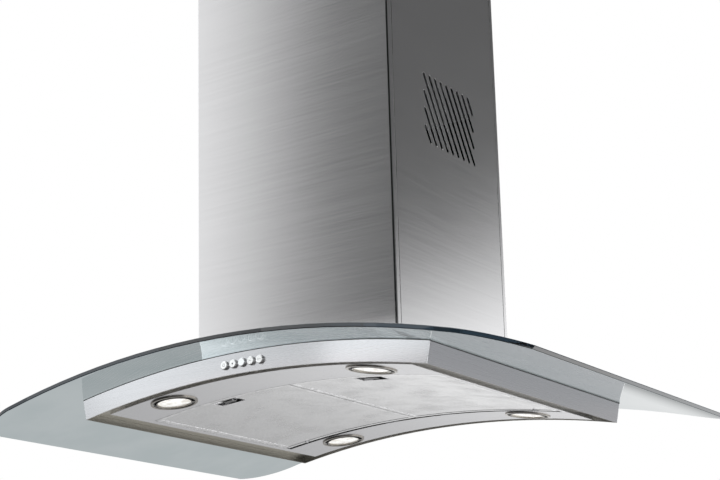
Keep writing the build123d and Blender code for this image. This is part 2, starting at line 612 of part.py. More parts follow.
def filter_latch_housing():
    """Right latch's cup, sunk into the mesh: a tray that is open below and slotted in front."""
    tall = FILTER_THICKNESS - LATCH_TOP_GAP
    cup = Pos(0, 0, tall / 2) * Box(LATCH_WIDTH, LATCH_LENGTH, tall)
    hollow = Pos(0, 0, (tall - LATCH_WALL) / 2 - OVER) * Box(
        LATCH_WIDTH - 2 * LATCH_WALL, LATCH_LENGTH - 2 * LATCH_WALL, tall - LATCH_WALL + 2 * OVER)
    bolt_hole = Pos(0, -LATCH_LENGTH / 2, LATCH_PLATE_DEPTH + LATCH_BOLT_THICKNESS / 2) * Box(
        LATCH_BOLT_WIDTH + 2 * LATCH_BOLT_FIT, 3 * LATCH_WALL, LATCH_BOLT_THICKNESS + 2 * LATCH_BOLT_FIT)
    return latch_place(BODY_HEIGHT - SEAT) * (cup - hollow - bolt_hole)


def filter_latch():
    """Right latch's slider: plate, finger pull and the bolt that reaches the filter's front edge."""
    plate_y0 = -LATCH_LENGTH / 2 + LATCH_WALL + LATCH_BOLT_FIT
    plate_y1 = LATCH_LENGTH / 2 - LATCH_WALL - LATCH_TRAVEL - LATCH_BOLT_FIT
    half = LATCH_WIDTH / 2 - LATCH_WALL - LATCH_BOLT_FIT
    z0, z1 = LATCH_PLATE_DEPTH, LATCH_PLATE_DEPTH + LATCH_BOLT_THICKNESS
    plate = block(-half, half, plate_y0, plate_y1, z0, z1)
    pull_y = plate_y1 - LATCH_PULL_SHEET
    pull_half, bolt_half = LATCH_PULL_WIDTH / 2, LATCH_BOLT_WIDTH / 2
    pull = block(-pull_half, pull_half, pull_y, plate_y1, LATCH_PULL_RECESS, z0)
    grip = block(-pull_half, pull_half, plate_y1 - LATCH_PULL_LENGTH, plate_y1,
                 LATCH_PULL_RECESS, LATCH_PULL_RECESS + LATCH_PULL_SHEET)
    bolt = block(-bolt_half, bolt_half, -LATCH_LENGTH / 2 - LATCH_FRONT + SEAT, plate_y0, z0, z1)
    return latch_place(BODY_HEIGHT - SEAT) * (plate + pull + grip + bolt)


def filter_hinge_pins():
    """Right filter's hinge pin, held in the ears."""
    half = HINGE_BOSS_LENGTH / 2 + HINGE_SIDE_GAP + HINGE_EAR
    pin = rod((HINGE_MIDDLE_X - half, hinge_y(), hinge_height()), (1, 0, 0), HINGE_PIN_RADIUS, 2 * half)
    return [pin, mirrored(pin)]


# ---- lamps ----
def lamp_ring():
    """Chrome ring proud of the panel, and the inner collar that holds the lens."""
    inner = LAMP_RING_RADIUS - LAMP_RING_WIDTH
    proud = Cylinder(LAMP_RING_RADIUS, 2 * LAMP_RING_PROUD) - Cylinder(inner, 3 * LAMP_RING_PROUD)
    proud = fillet(proud.edges().group_by(Axis.Z)[0], LAMP_RING_PROUD / 3)
    bend = GLASS_RADIUS - BODY_HEIGHT
    proud = proud & rod((0, -LAMP_RING_RADIUS - OVER, -bend), (0, 1, 0), bend - SEAT / 2,
                        2 * LAMP_RING_RADIUS + 2 * OVER)
    bore = LAMP_LENS_RADIUS + LAMP_FIT
    collar_outer = bore + LAMP_COLLAR_SHEET
    collar = Pos(0, 0, LAMP_COLLAR_HEIGHT / 2 - LAMP_RING_PROUD) * (
        Cylinder(collar_outer, LAMP_COLLAR_HEIGHT) - Cylinder(bore, 2 * LAMP_COLLAR_HEIGHT))
    web_z = LAMP_COLLAR_HEIGHT - LAMP_RING_PROUD - LAMP_COLLAR_SHEET / 2
    web = Pos(0, 0, web_z) * (Cylinder(LAMP_CAN_RADIUS - LAMP_CAN_SHEET - LAMP_FIT, LAMP_COLLAR_SHEET)
                              - Cylinder(bore, 2 * LAMP_COLLAR_HEIGHT))
    spoke = block(collar_outer - SPOKE_ROOT, inner + SPOKE_ROOT, -SPOKE_WIDTH / 2, SPOKE_WIDTH / 2,
                  SPOKE_DEPTH - SPOKE_THICKNESS, SPOKE_DEPTH)
    spokes = [Rot(0, 0, SPOKE_START + 360 / SPOKE_COUNT * i) * spoke for i in range(SPOKE_COUNT)]
    return proud + collar + web + spokes


def lamp_lens():
    """Round glass with a shallow dome, seated in the ring's collar."""
    disc = Cylinder(LAMP_LENS_RADIUS, LAMP_LENS_THICKNESS, align=(Align.CENTER, Align.CENTER, Align.MIN))
    radius = (LAMP_LENS_RADIUS ** 2 + LAMP_LENS_DOME ** 2) / (2 * LAMP_LENS_DOME)
    reach = LAMP_LENS_RADIUS + OVER
    dome = Pos(0, 0, radius - LAMP_LENS_DOME) * Sphere(radius)
    dome = dome & block(-reach, reach, -reach, reach, -LAMP_LENS_DOME - OVER, PRESS_GAP / 2)
    return Pos(0, 0, -LAMP_RING_PROUD + LAMP_LENS_DOME) * (disc + dome)


def lamp_housing():
    """Steel can behind the ring, closed at the top, with a socket for the bulb."""
    can = rod((0, 0, 0), (0, 0, 1), LAMP_CAN_RADIUS, LAMP_CAN_HEIGHT)
    under_top = LAMP_CAN_HEIGHT - LAMP_CAN_SHEET
    hollow = rod((0, 0, -OVER), (0, 0, 1), LAMP_CAN_RADIUS - LAMP_CAN_SHEET, under_top + OVER)
    foot = lamp_bulb_top() + SEAT
    socket = rod((0, 0, foot), (0, 0, 1), BULB_RADIUS + BULB_SOCKET_WALL, LAMP_CAN_HEIGHT - SEAT - foot)
    return Pos(0, 0, SEAT / 4) * (can - hollow + socket)


def lamp_bulb_top():
    """Height of the bulb's top over the panel's underside."""
    return LAMP_LENS_THICKNESS + LAMP_LENS_DOME + BULB_GAP + BULB_LENGTH


def lamp_bulb():
    """Small capsule bulb over the lens."""
    body = Pos(0, 0, lamp_bulb_top() - BULB_LENGTH / 2) * Cylinder(BULB_RADIUS, BULB_LENGTH)
    return fillet(body.edges().group_by(Axis.Z)[0], BULB_RADIUS / 2)


# ---- controls ----
def button(index):
    """Round cap with its stem, which slides in the switch block."""
    cap = rod((0, -BUTTON_PROUD, 0), (0, 1, 0), BUTTON_RADIUS, BUTTON_PROUD + BODY_SHEET + BUTTON_INNER)
    cap = fillet(cap.edges().group_by(Axis.Y)[0], BUTTON_EDGE_ROUND)
    stem = rod((0, BODY_SHEET, 0), (0, 1, 0), STEM_RADIUS,
               switch_face() - BODY_SHEET - BUTTON_TRAVEL - SWITCH_AIR)
    return Pos(button_axis(index)) * (cap + stem)


def switch_block_front():
    """Place of the switch block's front face behind the front panel's outer face."""
    return BODY_SHEET + BUTTON_INNER + BUTTON_TRAVEL + SWITCH_BLOCK_GAP


def board_face():
    """Place of the control board's front face behind the front panel's outer face."""
    return switch_block_front() + SWITCH_BLOCK_THICKNESS + BOARD_GAP + SEAT


def switch_face():
    """Place of the switches' front faces behind the front panel's outer face."""
    return board_face() - SWITCH_HEIGHT


def switch_block():
    """Moulded block behind the front panel, with a guide bore for each stem and two feet."""
    half = -button_s(0) + SWITCH_BLOCK_MARGIN
    y0 = -BODY_HALF_Y + switch_block_front()
    z = button_axis(MIDDLE_BUTTON).Z
    low, high = z - SWITCH_BLOCK_DOWN, z + SWITCH_BLOCK_UP
    body = block(-half, half, y0, y0 + SWITCH_BLOCK_THICKNESS, low, high)
    y1 = y0 + SWITCH_BLOCK_THICKNESS + BOARD_GAP
    foot_y0 = -BODY_HALF_Y + BODY_SHEET + SEAT
    feet = [block(side * half - SWITCH_FOOT / 2, side * half + SWITCH_FOOT / 2, foot_y0, y1, low, high)
            for side in (-1, 1)]
    bores = [rod(button_axis(i), (0, 1, 0), STEM_RADIUS + STEM_CLEARANCE, CUT_REACH)
             for i in range(len(BUTTON_NAMES))]
    return body + feet - bores


def control_board():
    """Printed circuit board behind the block, with a switch behind each stem."""
    half = -button_s(0) + SWITCH_BLOCK_MARGIN + SWITCH_FOOT / 2
    y0 = -BODY_HALF_Y + board_face()
    z = button_axis(MIDDLE_BUTTON).Z
    board = block(-half, half, y0, y0 + BOARD_THICKNESS, z - SWITCH_BLOCK_DOWN, z + SWITCH_BLOCK_UP)
    switches = []
    for i in range(len(BUTTON_NAMES)):
        x, low = button_axis(i).X, button_axis(i).Z - SWITCH_DROP
        switches.append(block(x - SWITCH_SIZE / 2, x + SWITCH_SIZE / 2, y0 - SWITCH_HEIGHT, y0,
                              low, low + SWITCH_SIZE))
    return board + switches


# ---- chimney ----
def trim_to_glass(shape):
    """Cuts a cover's lower edge to the bend of the glass."""
    return shape - arch(-GLASS_HALF_S, GLASS_HALF_S, -GLASS_DEPTH / 2, GLASS_DEPTH / 2,
                        CUT_REACH, GLASS_TOP - CHIMNEY_LIFT)


def channel(half_x, front, rear, bottom, top, sheet, fold):
    """Upright folded sheet, open to the rear, with rounded front corners."""
    outer = block(-half_x, half_x, front, rear, bottom, top)
    inner = block(-half_x + sheet, half_x - sheet, front + sheet, rear + SPILL, bottom - OVER, top + OVER)
    outer, inner = [fillet(b.edges().filter_by(Axis.Z).group_by(Axis.Y)[0], radius)
                    for b, radius in ((outer, fold), (inner, fold - sheet))]
    return outer - inner


def chimney_front_cover():
    """Flat front with a narrow fold onto each side."""
    bottom = height_at(COVER_HALF_X, 0) - CHIMNEY_BLANK
    return trim_to_glass(channel(COVER_HALF_X, -COVER_HALF_Y, -COVER_HALF_Y + CHIMNEY_RETURN,
                                 bottom, CHIMNEY_TOP, CHIMNEY_SHEET, CHIMNEY_FOLD))


def vent_slots():
    """Slanted slots with round ends that fill a rectangular field, drawn on the side cover's plane."""
    run = VENT_HEIGHT * TAPER
    field = run + (VENT_FULL_SLOTS - 1) * VENT_PITCH
    inset = VENT_SLOT_WIDTH / 2
    slots = []
    for k in range(-VENT_CUT_SLOTS, VENT_FULL_SLOTS + VENT_CUT_SLOTS):
        start = k * VENT_PITCH
        top_y, top_z = max(start, 0), VENT_TOP - max(-start, 0) / TAPER
        low_y = min(start + run, field)
        low_z = VENT_TOP - (low_y - start) / TAPER
        length = sqrt((low_y - top_y) ** 2 + (low_z - top_z) ** 2) - 2 * inset
        middle = (VENT_MIDDLE_Y + (top_y + low_y - field) / 2, (top_z + low_z) / 2)
        slot = Rot(0, 0, VENT_SLANT - 90) * SlotCenterToCenter(length, VENT_SLOT_WIDTH)
        slots.append(Pos(*middle) * slot)
    return slots


def chimney_side_cover():
    """Right side cover between the folds, with joggled strips behind both seams and the vent slots."""
    bottom = height_at(COVER_HALF_X, 0) - CHIMNEY_BLANK
    end = COVER_HALF_Y - CHIMNEY_RETURN - CHIMNEY_SEAM
    cover = block(INNER_HALF_X, COVER_HALF_X, -end, end, bottom, CHIMNEY_TOP)
    strip_x = INNER_HALF_X - SEAT
    strip = block(strip_x - CHIMNEY_SHEET, strip_x, end - JOGGLE_LAP, end + JOGGLE_LAP, bottom, CHIMNEY_TOP)
    weld = block(strip_x - CHIMNEY_SHEET / 2, INNER_HALF_X + CHIMNEY_SHEET / 2, end - JOGGLE_LAP, end,
                 bottom, CHIMNEY_TOP)
    joggle = strip + weld
    slots = [extrude(Plane.YZ.offset(INNER_HALF_X - OVER) * slot, amount=CHIMNEY_SHEET + 2 * OVER)
             for slot in vent_slots()]
    return trim_to_glass(cover + joggle + mirror(joggle, about=Plane.XZ)) - slots


def upper_chimney_half():
    """Front half of the upper chimney: a deep channel up to the seams at the middle of the sides."""
    return channel(UPPER_HALF_X, -UPPER_HALF_Y, -UPPER_SEAM / 2, UPPER_BOTTOM,
                   CEILING_HEIGHT - UPPER_TOP_GAP, UPPER_SHEET, UPPER_FOLD)


# ---- telescopic frame ----
def corners(shape):
    """A shape at the front right corner, repeated at all four corners."""
    pair = [shape, mirrored(shape)]
    return pair + [mirror(s, about=Plane.XZ) for s in pair]


def lower_upright():
    """Angle at the front right corner, from the base plate up."""
    foot = height_at(POST_HALF_X - UPRIGHT_LEG, BASE_UNDERSIDE - BASE_SHEET) + SEAT
    x1, y0 = POST_HALF_X, -POST_HALF_Y
    angle = block(x1 - UPRIGHT_LEG, x1, y0, y0 + UPRIGHT_LEG, foot, LOWER_UPRIGHT_TOP) - block(
        x1 - UPRIGHT_LEG - OVER, x1 - UPRIGHT_SHEET, y0 + UPRIGHT_SHEET, y0 + UPRIGHT_LEG + OVER,
        foot - OVER, LOWER_UPRIGHT_TOP + OVER)
    return angle - clamp_screw_drill(CLAMP_SCREW_RADIUS + SCREW_CLEARANCE)


def clamp_screw_place():
    """Start of a clamp screw: outside the lower upright's side leg."""
    return Vector(POST_HALF_X, -POST_HALF_Y + CLAMP_SCREW_INSET, CLAMP_SCREW_HEIGHT)


def clamp_screw_drill(radius):
    """Cylinder along a clamp screw's axis."""
    return rod(clamp_screw_place() + Vector(OVER, 0, 0), (-1, 0, 0), radius, 2 * UPRIGHT_SHEET + SPILL)


def upper_upright():
    """Angle inside the lower one, hung from the ceiling frame, with the slot for the clamp screw."""
    x1, y0 = POST_HALF_X - UPRIGHT_SHEET - UPRIGHT_FIT, -POST_HALF_Y + UPRIGHT_SHEET + UPRIGHT_FIT
    top = CEILING_HEIGHT - FRAME_SHEET - SEAT
    leg = UPRIGHT_LEG
    angle = block(x1 - leg, x1, y0, y0 + leg, UPPER_UPRIGHT_BOTTOM, top) - block(
        x1 - leg - OVER, x1 - UPRIGHT_SHEET, y0 + UPRIGHT_SHEET, y0 + leg + OVER,
        UPPER_UPRIGHT_BOTTOM - OVER, top - UPRIGHT_SHEET)
    place = clamp_screw_place()
    slot = block(x1 - SPILL, x1 + SPILL, place.Y - CLAMP_SLOT_WIDTH / 2, place.Y + CLAMP_SLOT_WIDTH / 2,
                 CLAMP_SCREW_HEIGHT - HEIGHT_TRAVEL - CLAMP_SLOT_SPARE, CLAMP_SCREW_HEIGHT + CLAMP_SLOT_SPARE)
    return angle - slot - foot_screw_drill(FOOT_SCREW_RADIUS + SCREW_CLEARANCE)


def foot_screw_place(z):
    """Point on a foot screw's axis, in the middle of an upper upright's folded top."""
    leg = UPRIGHT_SHEET + UPRIGHT_FIT + UPRIGHT_LEG / 2
    return Vector(POST_HALF_X - leg, -POST_HALF_Y + leg, z)


def foot_screw_drill(radius):
    """Cylinder down through the ceiling frame and an upper upright's top."""
    length = FRAME_SHEET + UPRIGHT_SHEET + SPILL
    return rod(foot_screw_place(CEILING_HEIGHT + OVER), (0, 0, -1), radius, length)


def clamp_screws():
    """Four screws that clamp the uprights together: head outside, nut plate inside."""
    place = clamp_screw_place()
    shank = rod(place + Vector(SEAT, 0, 0), (-1, 0, 0), CLAMP_SCREW_RADIUS, CLAMP_SCREW_LENGTH)
    head = rod(place + Vector(SEAT, 0, 0), (1, 0, 0), CLAMP_HEAD_RADIUS, CLAMP_HEAD_HEIGHT)
    inner_face = 2 * UPRIGHT_SHEET + UPRIGHT_FIT + SEAT
    nut = rod(place - Vector(inner_face, 0, 0), (-1, 0, 0), CLAMP_HEAD_RADIUS, CLAMP_HEAD_HEIGHT)
    return corners(shank + head + nut)


def frame_screws():
    """Four countersunk screws that hold the upper uprights under the ceiling frame."""
    under = CEILING_HEIGHT - FRAME_SHEET - SEAT - UPRIGHT_SHEET
    shank = rod(foot_screw_place(CEILING_HEIGHT - SEAT), (0, 0, -1), FOOT_SCREW_RADIUS,
                FRAME_SHEET + UPRIGHT_SHEET + FOOT_SCREW_SPARE)
    nut = rod(foot_screw_place(under - SEAT), (0, 0, -1), FOOT_NUT_RADIUS, FOOT_NUT_HEIGHT)
    return corners(shank + nut)


def ceiling_frame():
    """Plate against the ceiling, with the way for the duct and four holes for the ceiling's screws."""
    half_x, half_y = UPPER_HALF_X - UPPER_SHEET - SEAT, UPPER_HALF_Y - UPPER_SHEET - SEAT
    plate = block(-half_x, half_x, -half_y, half_y, CEILING_HEIGHT - FRAME_SHEET, CEILING_HEIGHT)
    way = upright_prism(DUCT_WAY, DUCT_WAY, AIRWAY_CORNER_RADIUS,
                        CEILING_HEIGHT - SPILL, CEILING_HEIGHT + SPILL)
    place = Pos(CEILING_HOLE_X / 2, -CEILING_HOLE_Y / 2, CEILING_HEIGHT)
    hole = place * Cylinder(CEILING_HOLE_RADIUS, 2 * SPILL)
    drill = foot_screw_drill(FOOT_SCREW_RADIUS + SCREW_CLEARANCE)
    return plate - way - corners(hole) - corners(drill)


# ---- blower ----
def blower_base_plate():
    """Curved plate on the upper gasket, turned up at all four sides to carry the chimney covers."""
    half_x, half_y = INNER_HALF_X - 2 * SEAT - CHIMNEY_SHEET, INNER_HALF_Y - SEAT
    top = BASE_UNDERSIDE - BASE_SHEET
    plate = arch(-half_x - SPILL, half_x + SPILL, -half_y, half_y, BASE_UNDERSIDE, top)
    low = height_at(half_x, BASE_UNDERSIDE)
    blank = low - CUT_REACH / 2
    tray = block(-half_x, half_x, -half_y, half_y, blank, low + BASE_UPSTAND)
    hollow = block(-half_x + BASE_SHEET, half_x - BASE_SHEET, -half_y + BASE_SHEET, half_y - BASE_SHEET,
                   blank - OVER, low + BASE_UPSTAND + OVER)
    under = arch(-half_x - 2 * SPILL, half_x + 2 * SPILL, -half_y - SPILL, half_y + SPILL,
                 CUT_REACH, BASE_UNDERSIDE)
    walls = tray - hollow - under
    return (plate & tray) + walls - airway_cut() - clamp_holes(CLAMP_BOLT_RADIUS + SEAT)


def motor_box():
    """Folded box over the airway, open below, with a round outlet in its top."""
    half_x, half_y = BOX_WIDTH / 2, BOX_DEPTH / 2
    seat = BASE_UNDERSIDE - BASE_SHEET - SEAT
    foot = height_at(half_x, seat)
    outer = block(-half_x, half_x, -half_y, half_y, foot - OVER, BOX_TOP)
    inner = block(-half_x + BOX_SHEET, half_x - BOX_SHEET, -half_y + BOX_SHEET, half_y - BOX_SHEET,
                  foot - 2 * OVER, BOX_TOP - BOX_SHEET)
    under = arch(-half_x - SPILL, half_x + SPILL, -half_y - SPILL, half_y + SPILL, CUT_REACH, seat)
    box = outer - inner - under
    flange = arch(-half_x + BOX_FLANGE, half_x - BOX_FLANGE, half_y - BOX_SHEET, half_y + BOX_FLANGE,
                  seat, seat - BOX_SHEET)
    outlet = Pos(0, 0, BOX_TOP) * Cylinder(DUCT_RADIUS - COLLAR_SHEET, 2 * SPILL)
    return box + flange + mirror(flange, about=Plane.XZ) - outlet


def scroll_solid(shrink, top):
    """Filled scroll, smaller by shrink all round: a round drum with a straight throat up to a height."""
    half, throat = SCROLL_WIDTH / 2 - shrink, SCROLL_THROAT / 2 - shrink
    drum = rod((-half, 0, SCROLL_AXIS_HEIGHT), (1, 0, 0), SCROLL_RADIUS - shrink, 2 * half)
    return drum + block(-half, half, -throat, throat, SCROLL_AXIS_HEIGHT, top)


def scroll_housing():
    """Volute round the impeller: inlets at both sides, throat up to the box's outlet."""
    half, throat = SCROLL_WIDTH / 2, SCROLL_THROAT / 2
    top = BOX_TOP - BOX_SHEET - SEAT
    shell = scroll_solid(0, top) - scroll_solid(SCROLL_SHEET, top + SPILL)
    shell = shell - rod((-half - SPILL, 0, SCROLL_AXIS_HEIGHT), (1, 0, 0), SCROLL_INLET_RADIUS,
                        2 * half + 2 * SPILL)
    shelf = block(half, BOX_WIDTH / 2 - BOX_SHEET - SEAT, -throat, throat, top - SCROLL_SHEET, top)
    return shell + shelf + mirrored(shelf)


def impeller():
    """Double-inlet fan wheel: middle disc, two end rings, curved-in blades, hub and shaft."""
    half = IMPELLER_WIDTH / 2
    ring = Cylinder(IMPELLER_RADIUS, IMPELLER_RING) - Cylinder(IMPELLER_INNER_RADIUS, 2 * IMPELLER_RING)
    rings = [Pos(0, 0, side * (half - IMPELLER_RING / 2)) * ring for side in (-1, 1)]
    disc = Cylinder(IMPELLER_RADIUS, IMPELLER_RING)
    hub = Pos(0, 0, -HUB_LENGTH / 2) * Cylinder(HUB_RADIUS, HUB_LENGTH)
    reach = (IMPELLER_RADIUS + IMPELLER_INNER_RADIUS) / 2
    blade = Pos(reach, 0, 0) * Rot(0, 0, BLADE_TURN) * Box(
        (IMPELLER_RADIUS - IMPELLER_INNER_RADIUS) * BLADE_SHARE, BLADE_THICKNESS, IMPELLER_WIDTH)
    blades = [Rot(0, 0, i * 360 / IMPELLER_BLADES) * blade for i in range(IMPELLER_BLADES)]
    shaft = rod((0, 0, -HUB_LENGTH), (0, 0, 1), SHAFT_RADIUS,
                HUB_LENGTH + MOTOR_GAP + MOTOR_LENGTH + SHAFT_SPARE)
    wheel = disc + rings + hub + shaft + blades
    return Pos(0, 0, SCROLL_AXIS_HEIGHT) * Rot(0, 90, 0) * wheel


def motor():
    """Motor inside the wheel's right half, on three arms that end on the scroll's side."""
    x0 = IMPELLER_RING / 2 + MOTOR_GAP
    z = SCROLL_AXIS_HEIGHT
    body = rod((x0, 0, z), (1, 0, 0), MOTOR_RADIUS, MOTOR_LENGTH)
    body = fillet(body.edges(), MOTOR_EDGE_ROUND)
    arm_x0 = SCROLL_WIDTH / 2 + SEAT
    arm_x1 = arm_x0 + MOTOR_ARM_SHEET
    arm = block(arm_x0, arm_x1, -MOTOR_ARM_WIDTH / 2, MOTOR_ARM_WIDTH / 2,
                0, SCROLL_INLET_RADIUS + MOTOR_ARM_LAP)
    arms = [Pos(0, 0, z) * Rot(turn, 0, 0) * arm for turn in (0, 120, 240)]
    neck_x0 = x0 + MOTOR_LENGTH - MOTOR_NECK_ROOT
    neck = rod((neck_x0, 0, z), (1, 0, 0), MOTOR_RADIUS * MOTOR_NECK_SHARE, arm_x1 - neck_x0)
    bore = rod((x0 - OVER, 0, z), (1, 0, 0), SHAFT_RADIUS + SHAFT_CLEARANCE, MOTOR_LENGTH + SPILL)
    return body + neck + arms - bore


def outlet_collar():
    """Round spigot for the duct on the box's top, with a foot flange and seats for the flap pin."""
    foot = BOX_TOP + SEAT
    flange = Pos(0, 0, foot + COLLAR_SHEET / 2) * Cylinder(DUCT_RADIUS + COLLAR_FLANGE, COLLAR_SHEET)
    tube = Pos(0, 0, foot + COLLAR_HEIGHT / 2) * Cylinder(DUCT_RADIUS, COLLAR_HEIGHT)
    bore = Pos(0, 0, foot) * Cylinder(DUCT_RADIUS - COLLAR_SHEET, 3 * COLLAR_HEIGHT)
    pin_z = foot + FLAP_PIN_HEIGHT
    lug_x = -DUCT_RADIUS + FLAP_PIN_ROOT
    lug = block(lug_x, lug_x + FLAP_LUG_DEPTH, -FLAP_LUG, FLAP_LUG, pin_z - FLAP_LUG, pin_z + FLAP_LUG)
    stop = Pos(0, 0, pin_z - FLAP_STOP_DROP) * (
        Cylinder(DUCT_RADIUS - COLLAR_SHEET / 2, FLAP_STOP_SHEET)
        - Cylinder(DUCT_RADIUS - COLLAR_SHEET - FLAP_STOP_WIDTH, SPILL))
    way = FLAP_BARREL_RADIUS + OVER
    stop = stop - block(-DUCT_RADIUS, DUCT_RADIUS, -way, way, foot, foot + COLLAR_HEIGHT)
    pin_hole = rod((-DUCT_RADIUS - SPILL, 0, pin_z), (1, 0, 0), FLAP_PIN_RADIUS + PRESS_GAP,
                   2 * DUCT_RADIUS + 2 * SPILL)
    return (flange + tube - bore) + lug + mirrored(lug) + stop - pin_hole


def damper_pin():
    """Pin across the collar that both flaps hang on."""
    half = DUCT_RADIUS - FLAP_PIN_ROOT
    return rod((-half, 0, BOX_TOP + SEAT + FLAP_PIN_HEIGHT), (1, 0, 0), FLAP_PIN_RADIUS, 2 * half)


def damper_flap():
    """Front flap: half a disc with its share of the barrels on the pin."""
    z = BOX_TOP + SEAT + FLAP_PIN_HEIGHT
    radius = DUCT_RADIUS - COLLAR_SHEET - FLAP_GAP
    leaf = Pos(0, 0, z - FLAP_SHEET / 2) * Cylinder(radius, FLAP_SHEET)
    leaf = leaf & block(-radius, radius, -radius, -FLAP_BARREL_RADIUS - FLAP_SPLIT, z - SPILL, z + SPILL)
    lug_way = block(radius - FLAP_LUG_WAY, radius + SPILL, -SPILL, SPILL, z - SPILL, z + SPILL)
    leaf = leaf - lug_way - mirrored(lug_way)
    barrels = []
    for x in FLAP_BARREL_STARTS:
        x1 = x + FLAP_BARREL_LENGTH
        barrel = rod((x, 0, z), (1, 0, 0), FLAP_BARREL_RADIUS, FLAP_BARREL_LENGTH)
        web = block(x, x1, -FLAP_BARREL_RADIUS - 2 * FLAP_SPLIT, -FLAP_PIN_RADIUS - FLAP_SPLIT / 2,
                    z - FLAP_SHEET, z)
        barrels.append(barrel + web)
    bore = rod((-radius, 0, z), (1, 0, 0), FLAP_PIN_RADIUS + FLAP_PIN_CLEARANCE, 2 * radius)
    return leaf + barrels - bore


def terminal_box():
    """Plastic box for the mains terminals, on the motor box's top beside the collar."""
    width, length, tall = TERMINAL_BOX
    x1 = BOX_WIDTH / 2 - TERMINAL_BOX_INSET
    x0, y1 = x1 - width, length / 2
    z0 = BOX_TOP + SEAT
    body = block(x0, x1, -y1, y1, z0, z0 + tall)
    body = fillet(body.edges().filter_by(Axis.Z), TERMINAL_BOX_ROUND)
    wall, reach = TERMINAL_BOX_WALL, GLAND_REACH
    hollow = block(x0 + wall, x1 - wall, wall - y1, y1 - wall, z0 + wall, z0 + tall - wall)
    x, z = (x0 + x1) / 2, z0 + tall / 2
    gland = rod((x, -y1 - reach, z), (0, 1, 0), GLAND_RADIUS, reach + wall / 2)
    bore = rod((x, -y1 - 2 * reach, z), (0, 1, 0), GLAND_BORE_RADIUS, 3 * reach)
    return body + gland - hollow - bore


def capacitor():
    """Motor's run capacitor, lying on the motor box's top."""
    x = -BOX_WIDTH / 2 + CAPACITOR_RADIUS + CAPACITOR_INSET
    z0 = BOX_TOP + SEAT
    can = rod((x, -CAPACITOR_LENGTH / 2, z0 + CAPACITOR_RADIUS), (0, 1, 0), CAPACITOR_RADIUS,
              CAPACITOR_LENGTH)
    saddle = block(x - CAPACITOR_RADIUS, x + CAPACITOR_RADIUS, -SADDLE_HALF_LENGTH,
                   SADDLE_HALF_LENGTH, z0, z0 + CAPACITOR_RADIUS * SADDLE_SHARE)
    return fillet(can.edges(), CAPACITOR_ROUND) + saddle


# ---- writing the pieces ----
def write(node, shapes):
    """Writes one node, moved so that the ceiling face is the origin."""
    shapes = shapes if isinstance(shapes, list) else [shapes]
    solids = [s for shape in shapes for s in shape.solids()]
    placed = [Pos(0, 0, -CEILING_HEIGHT) * s for s in solids]
    export_step(placed[0] if len(placed) == 1 else Compound(children=placed), f"parts/{node}.step")


def pair(node_left, node_right, shape):
    """Writes a right-hand piece and its mirror image."""
    write(node_right, shape)
    write(node_left, [mirrored(s) for s in shape.solids()])


def main():
    """Builds every piece and writes it to its own file."""
    os.makedirs("parts", exist_ok=True)
    write("glass_canopy", glass_canopy())
    write("glass_gasket_lower", glass_gasket_lower())
    write("glass_gasket_upper", glass_gasket_upper())
    write("glass_bushings", glass_bushings())
    write("glass_clamp_bolts", glass_clamp_bolts())
    write("body_front_panel", body_front_panel())
    write("body_rear_panel", end_wall(True))
    pair("body_left_panel", "body_right_panel", body_side_panel())
    write("body_top_deck", body_top_deck())
    write("body_rim_frame", body_rim_frame())
    write("lamp_panel", lamp_panel())
    pair("filter_left_frame", "filter_right_frame", filter_frame())
    pair("filter_left_mesh", "filter_right_mesh", filter_mesh())
    pair("filter_left_latch_housing", "filter_right_latch_housing", filter_latch_housing())
    pair("filter_left_latch", "filter_right_latch", filter_latch())
    write("filter_hinge_pins", filter_hinge_pins())
    ring, lens, housing, bulb = lamp_ring(), lamp_lens(), lamp_housing(), lamp_bulb()
    places = lamp_places(BODY_HEIGHT)
    for name, place in places.items():
        write(f"lamp_{name}_ring", place * ring)
        write(f"lamp_{name}_lens", place * lens)
    write("lamp_housings", [place * housing for place in places.values()])
    write("lamp_bulbs", [place * bulb for place in places.values()])
    for index, name in enumerate(BUTTON_NAMES):
        write(f"button_{name}", button(index))
    write("switch_block", switch_block())
    write("control_board", control_board())
    write("chimney_front_cover", chimney_front_cover())
    write("chimney_rear_cover", mirror(chimney_front_cover(), about=Plane.XZ))
    pair("chimney_left_cover", "chimney_right_cover", chimney_side_cover())
    write("upper_chimney_front", upper_chimney_half())
    write("upper_chimney_rear", mirror(upper_chimney_half(), about=Plane.XZ))
    write("lower_uprights", corners(lower_upright()))
    write("upper_uprights", corners(upper_upright()))
    write("clamp_screws", clamp_screws())
    write("frame_screws", frame_screws())
    write("ceiling_frame", ceiling_frame())
    write("blower_base_plate", blower_base_plate())
    write("motor_box", motor_box())
    write("scroll_housing", scroll_housing())
    write("impeller", impeller())
    write("motor", motor())
    write("outlet_collar", outlet_collar())
    write("damper_pin", damper_pin())
    flap = damper_flap()
    write("damper_flap_front", flap)
    write("damper_flap_rear", Rot(0, 0, 180) * flap)
    write("terminal_box", terminal_box())
    write("capacitor", capacitor())


main()
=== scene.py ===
"""Island cooker hood with a bent glass canopy: finishes, fine pieces, studio and camera.

Metres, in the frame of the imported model. The origin is the middle of the ceiling frame's top face,
X runs to the right seen from the front, Y from front to rear and Z up.
"""

import logging
import math
from dataclasses import dataclass
from enum import Enum
from typing import ClassVar

import bmesh
import bpy
from mathutils import Matrix, Vector

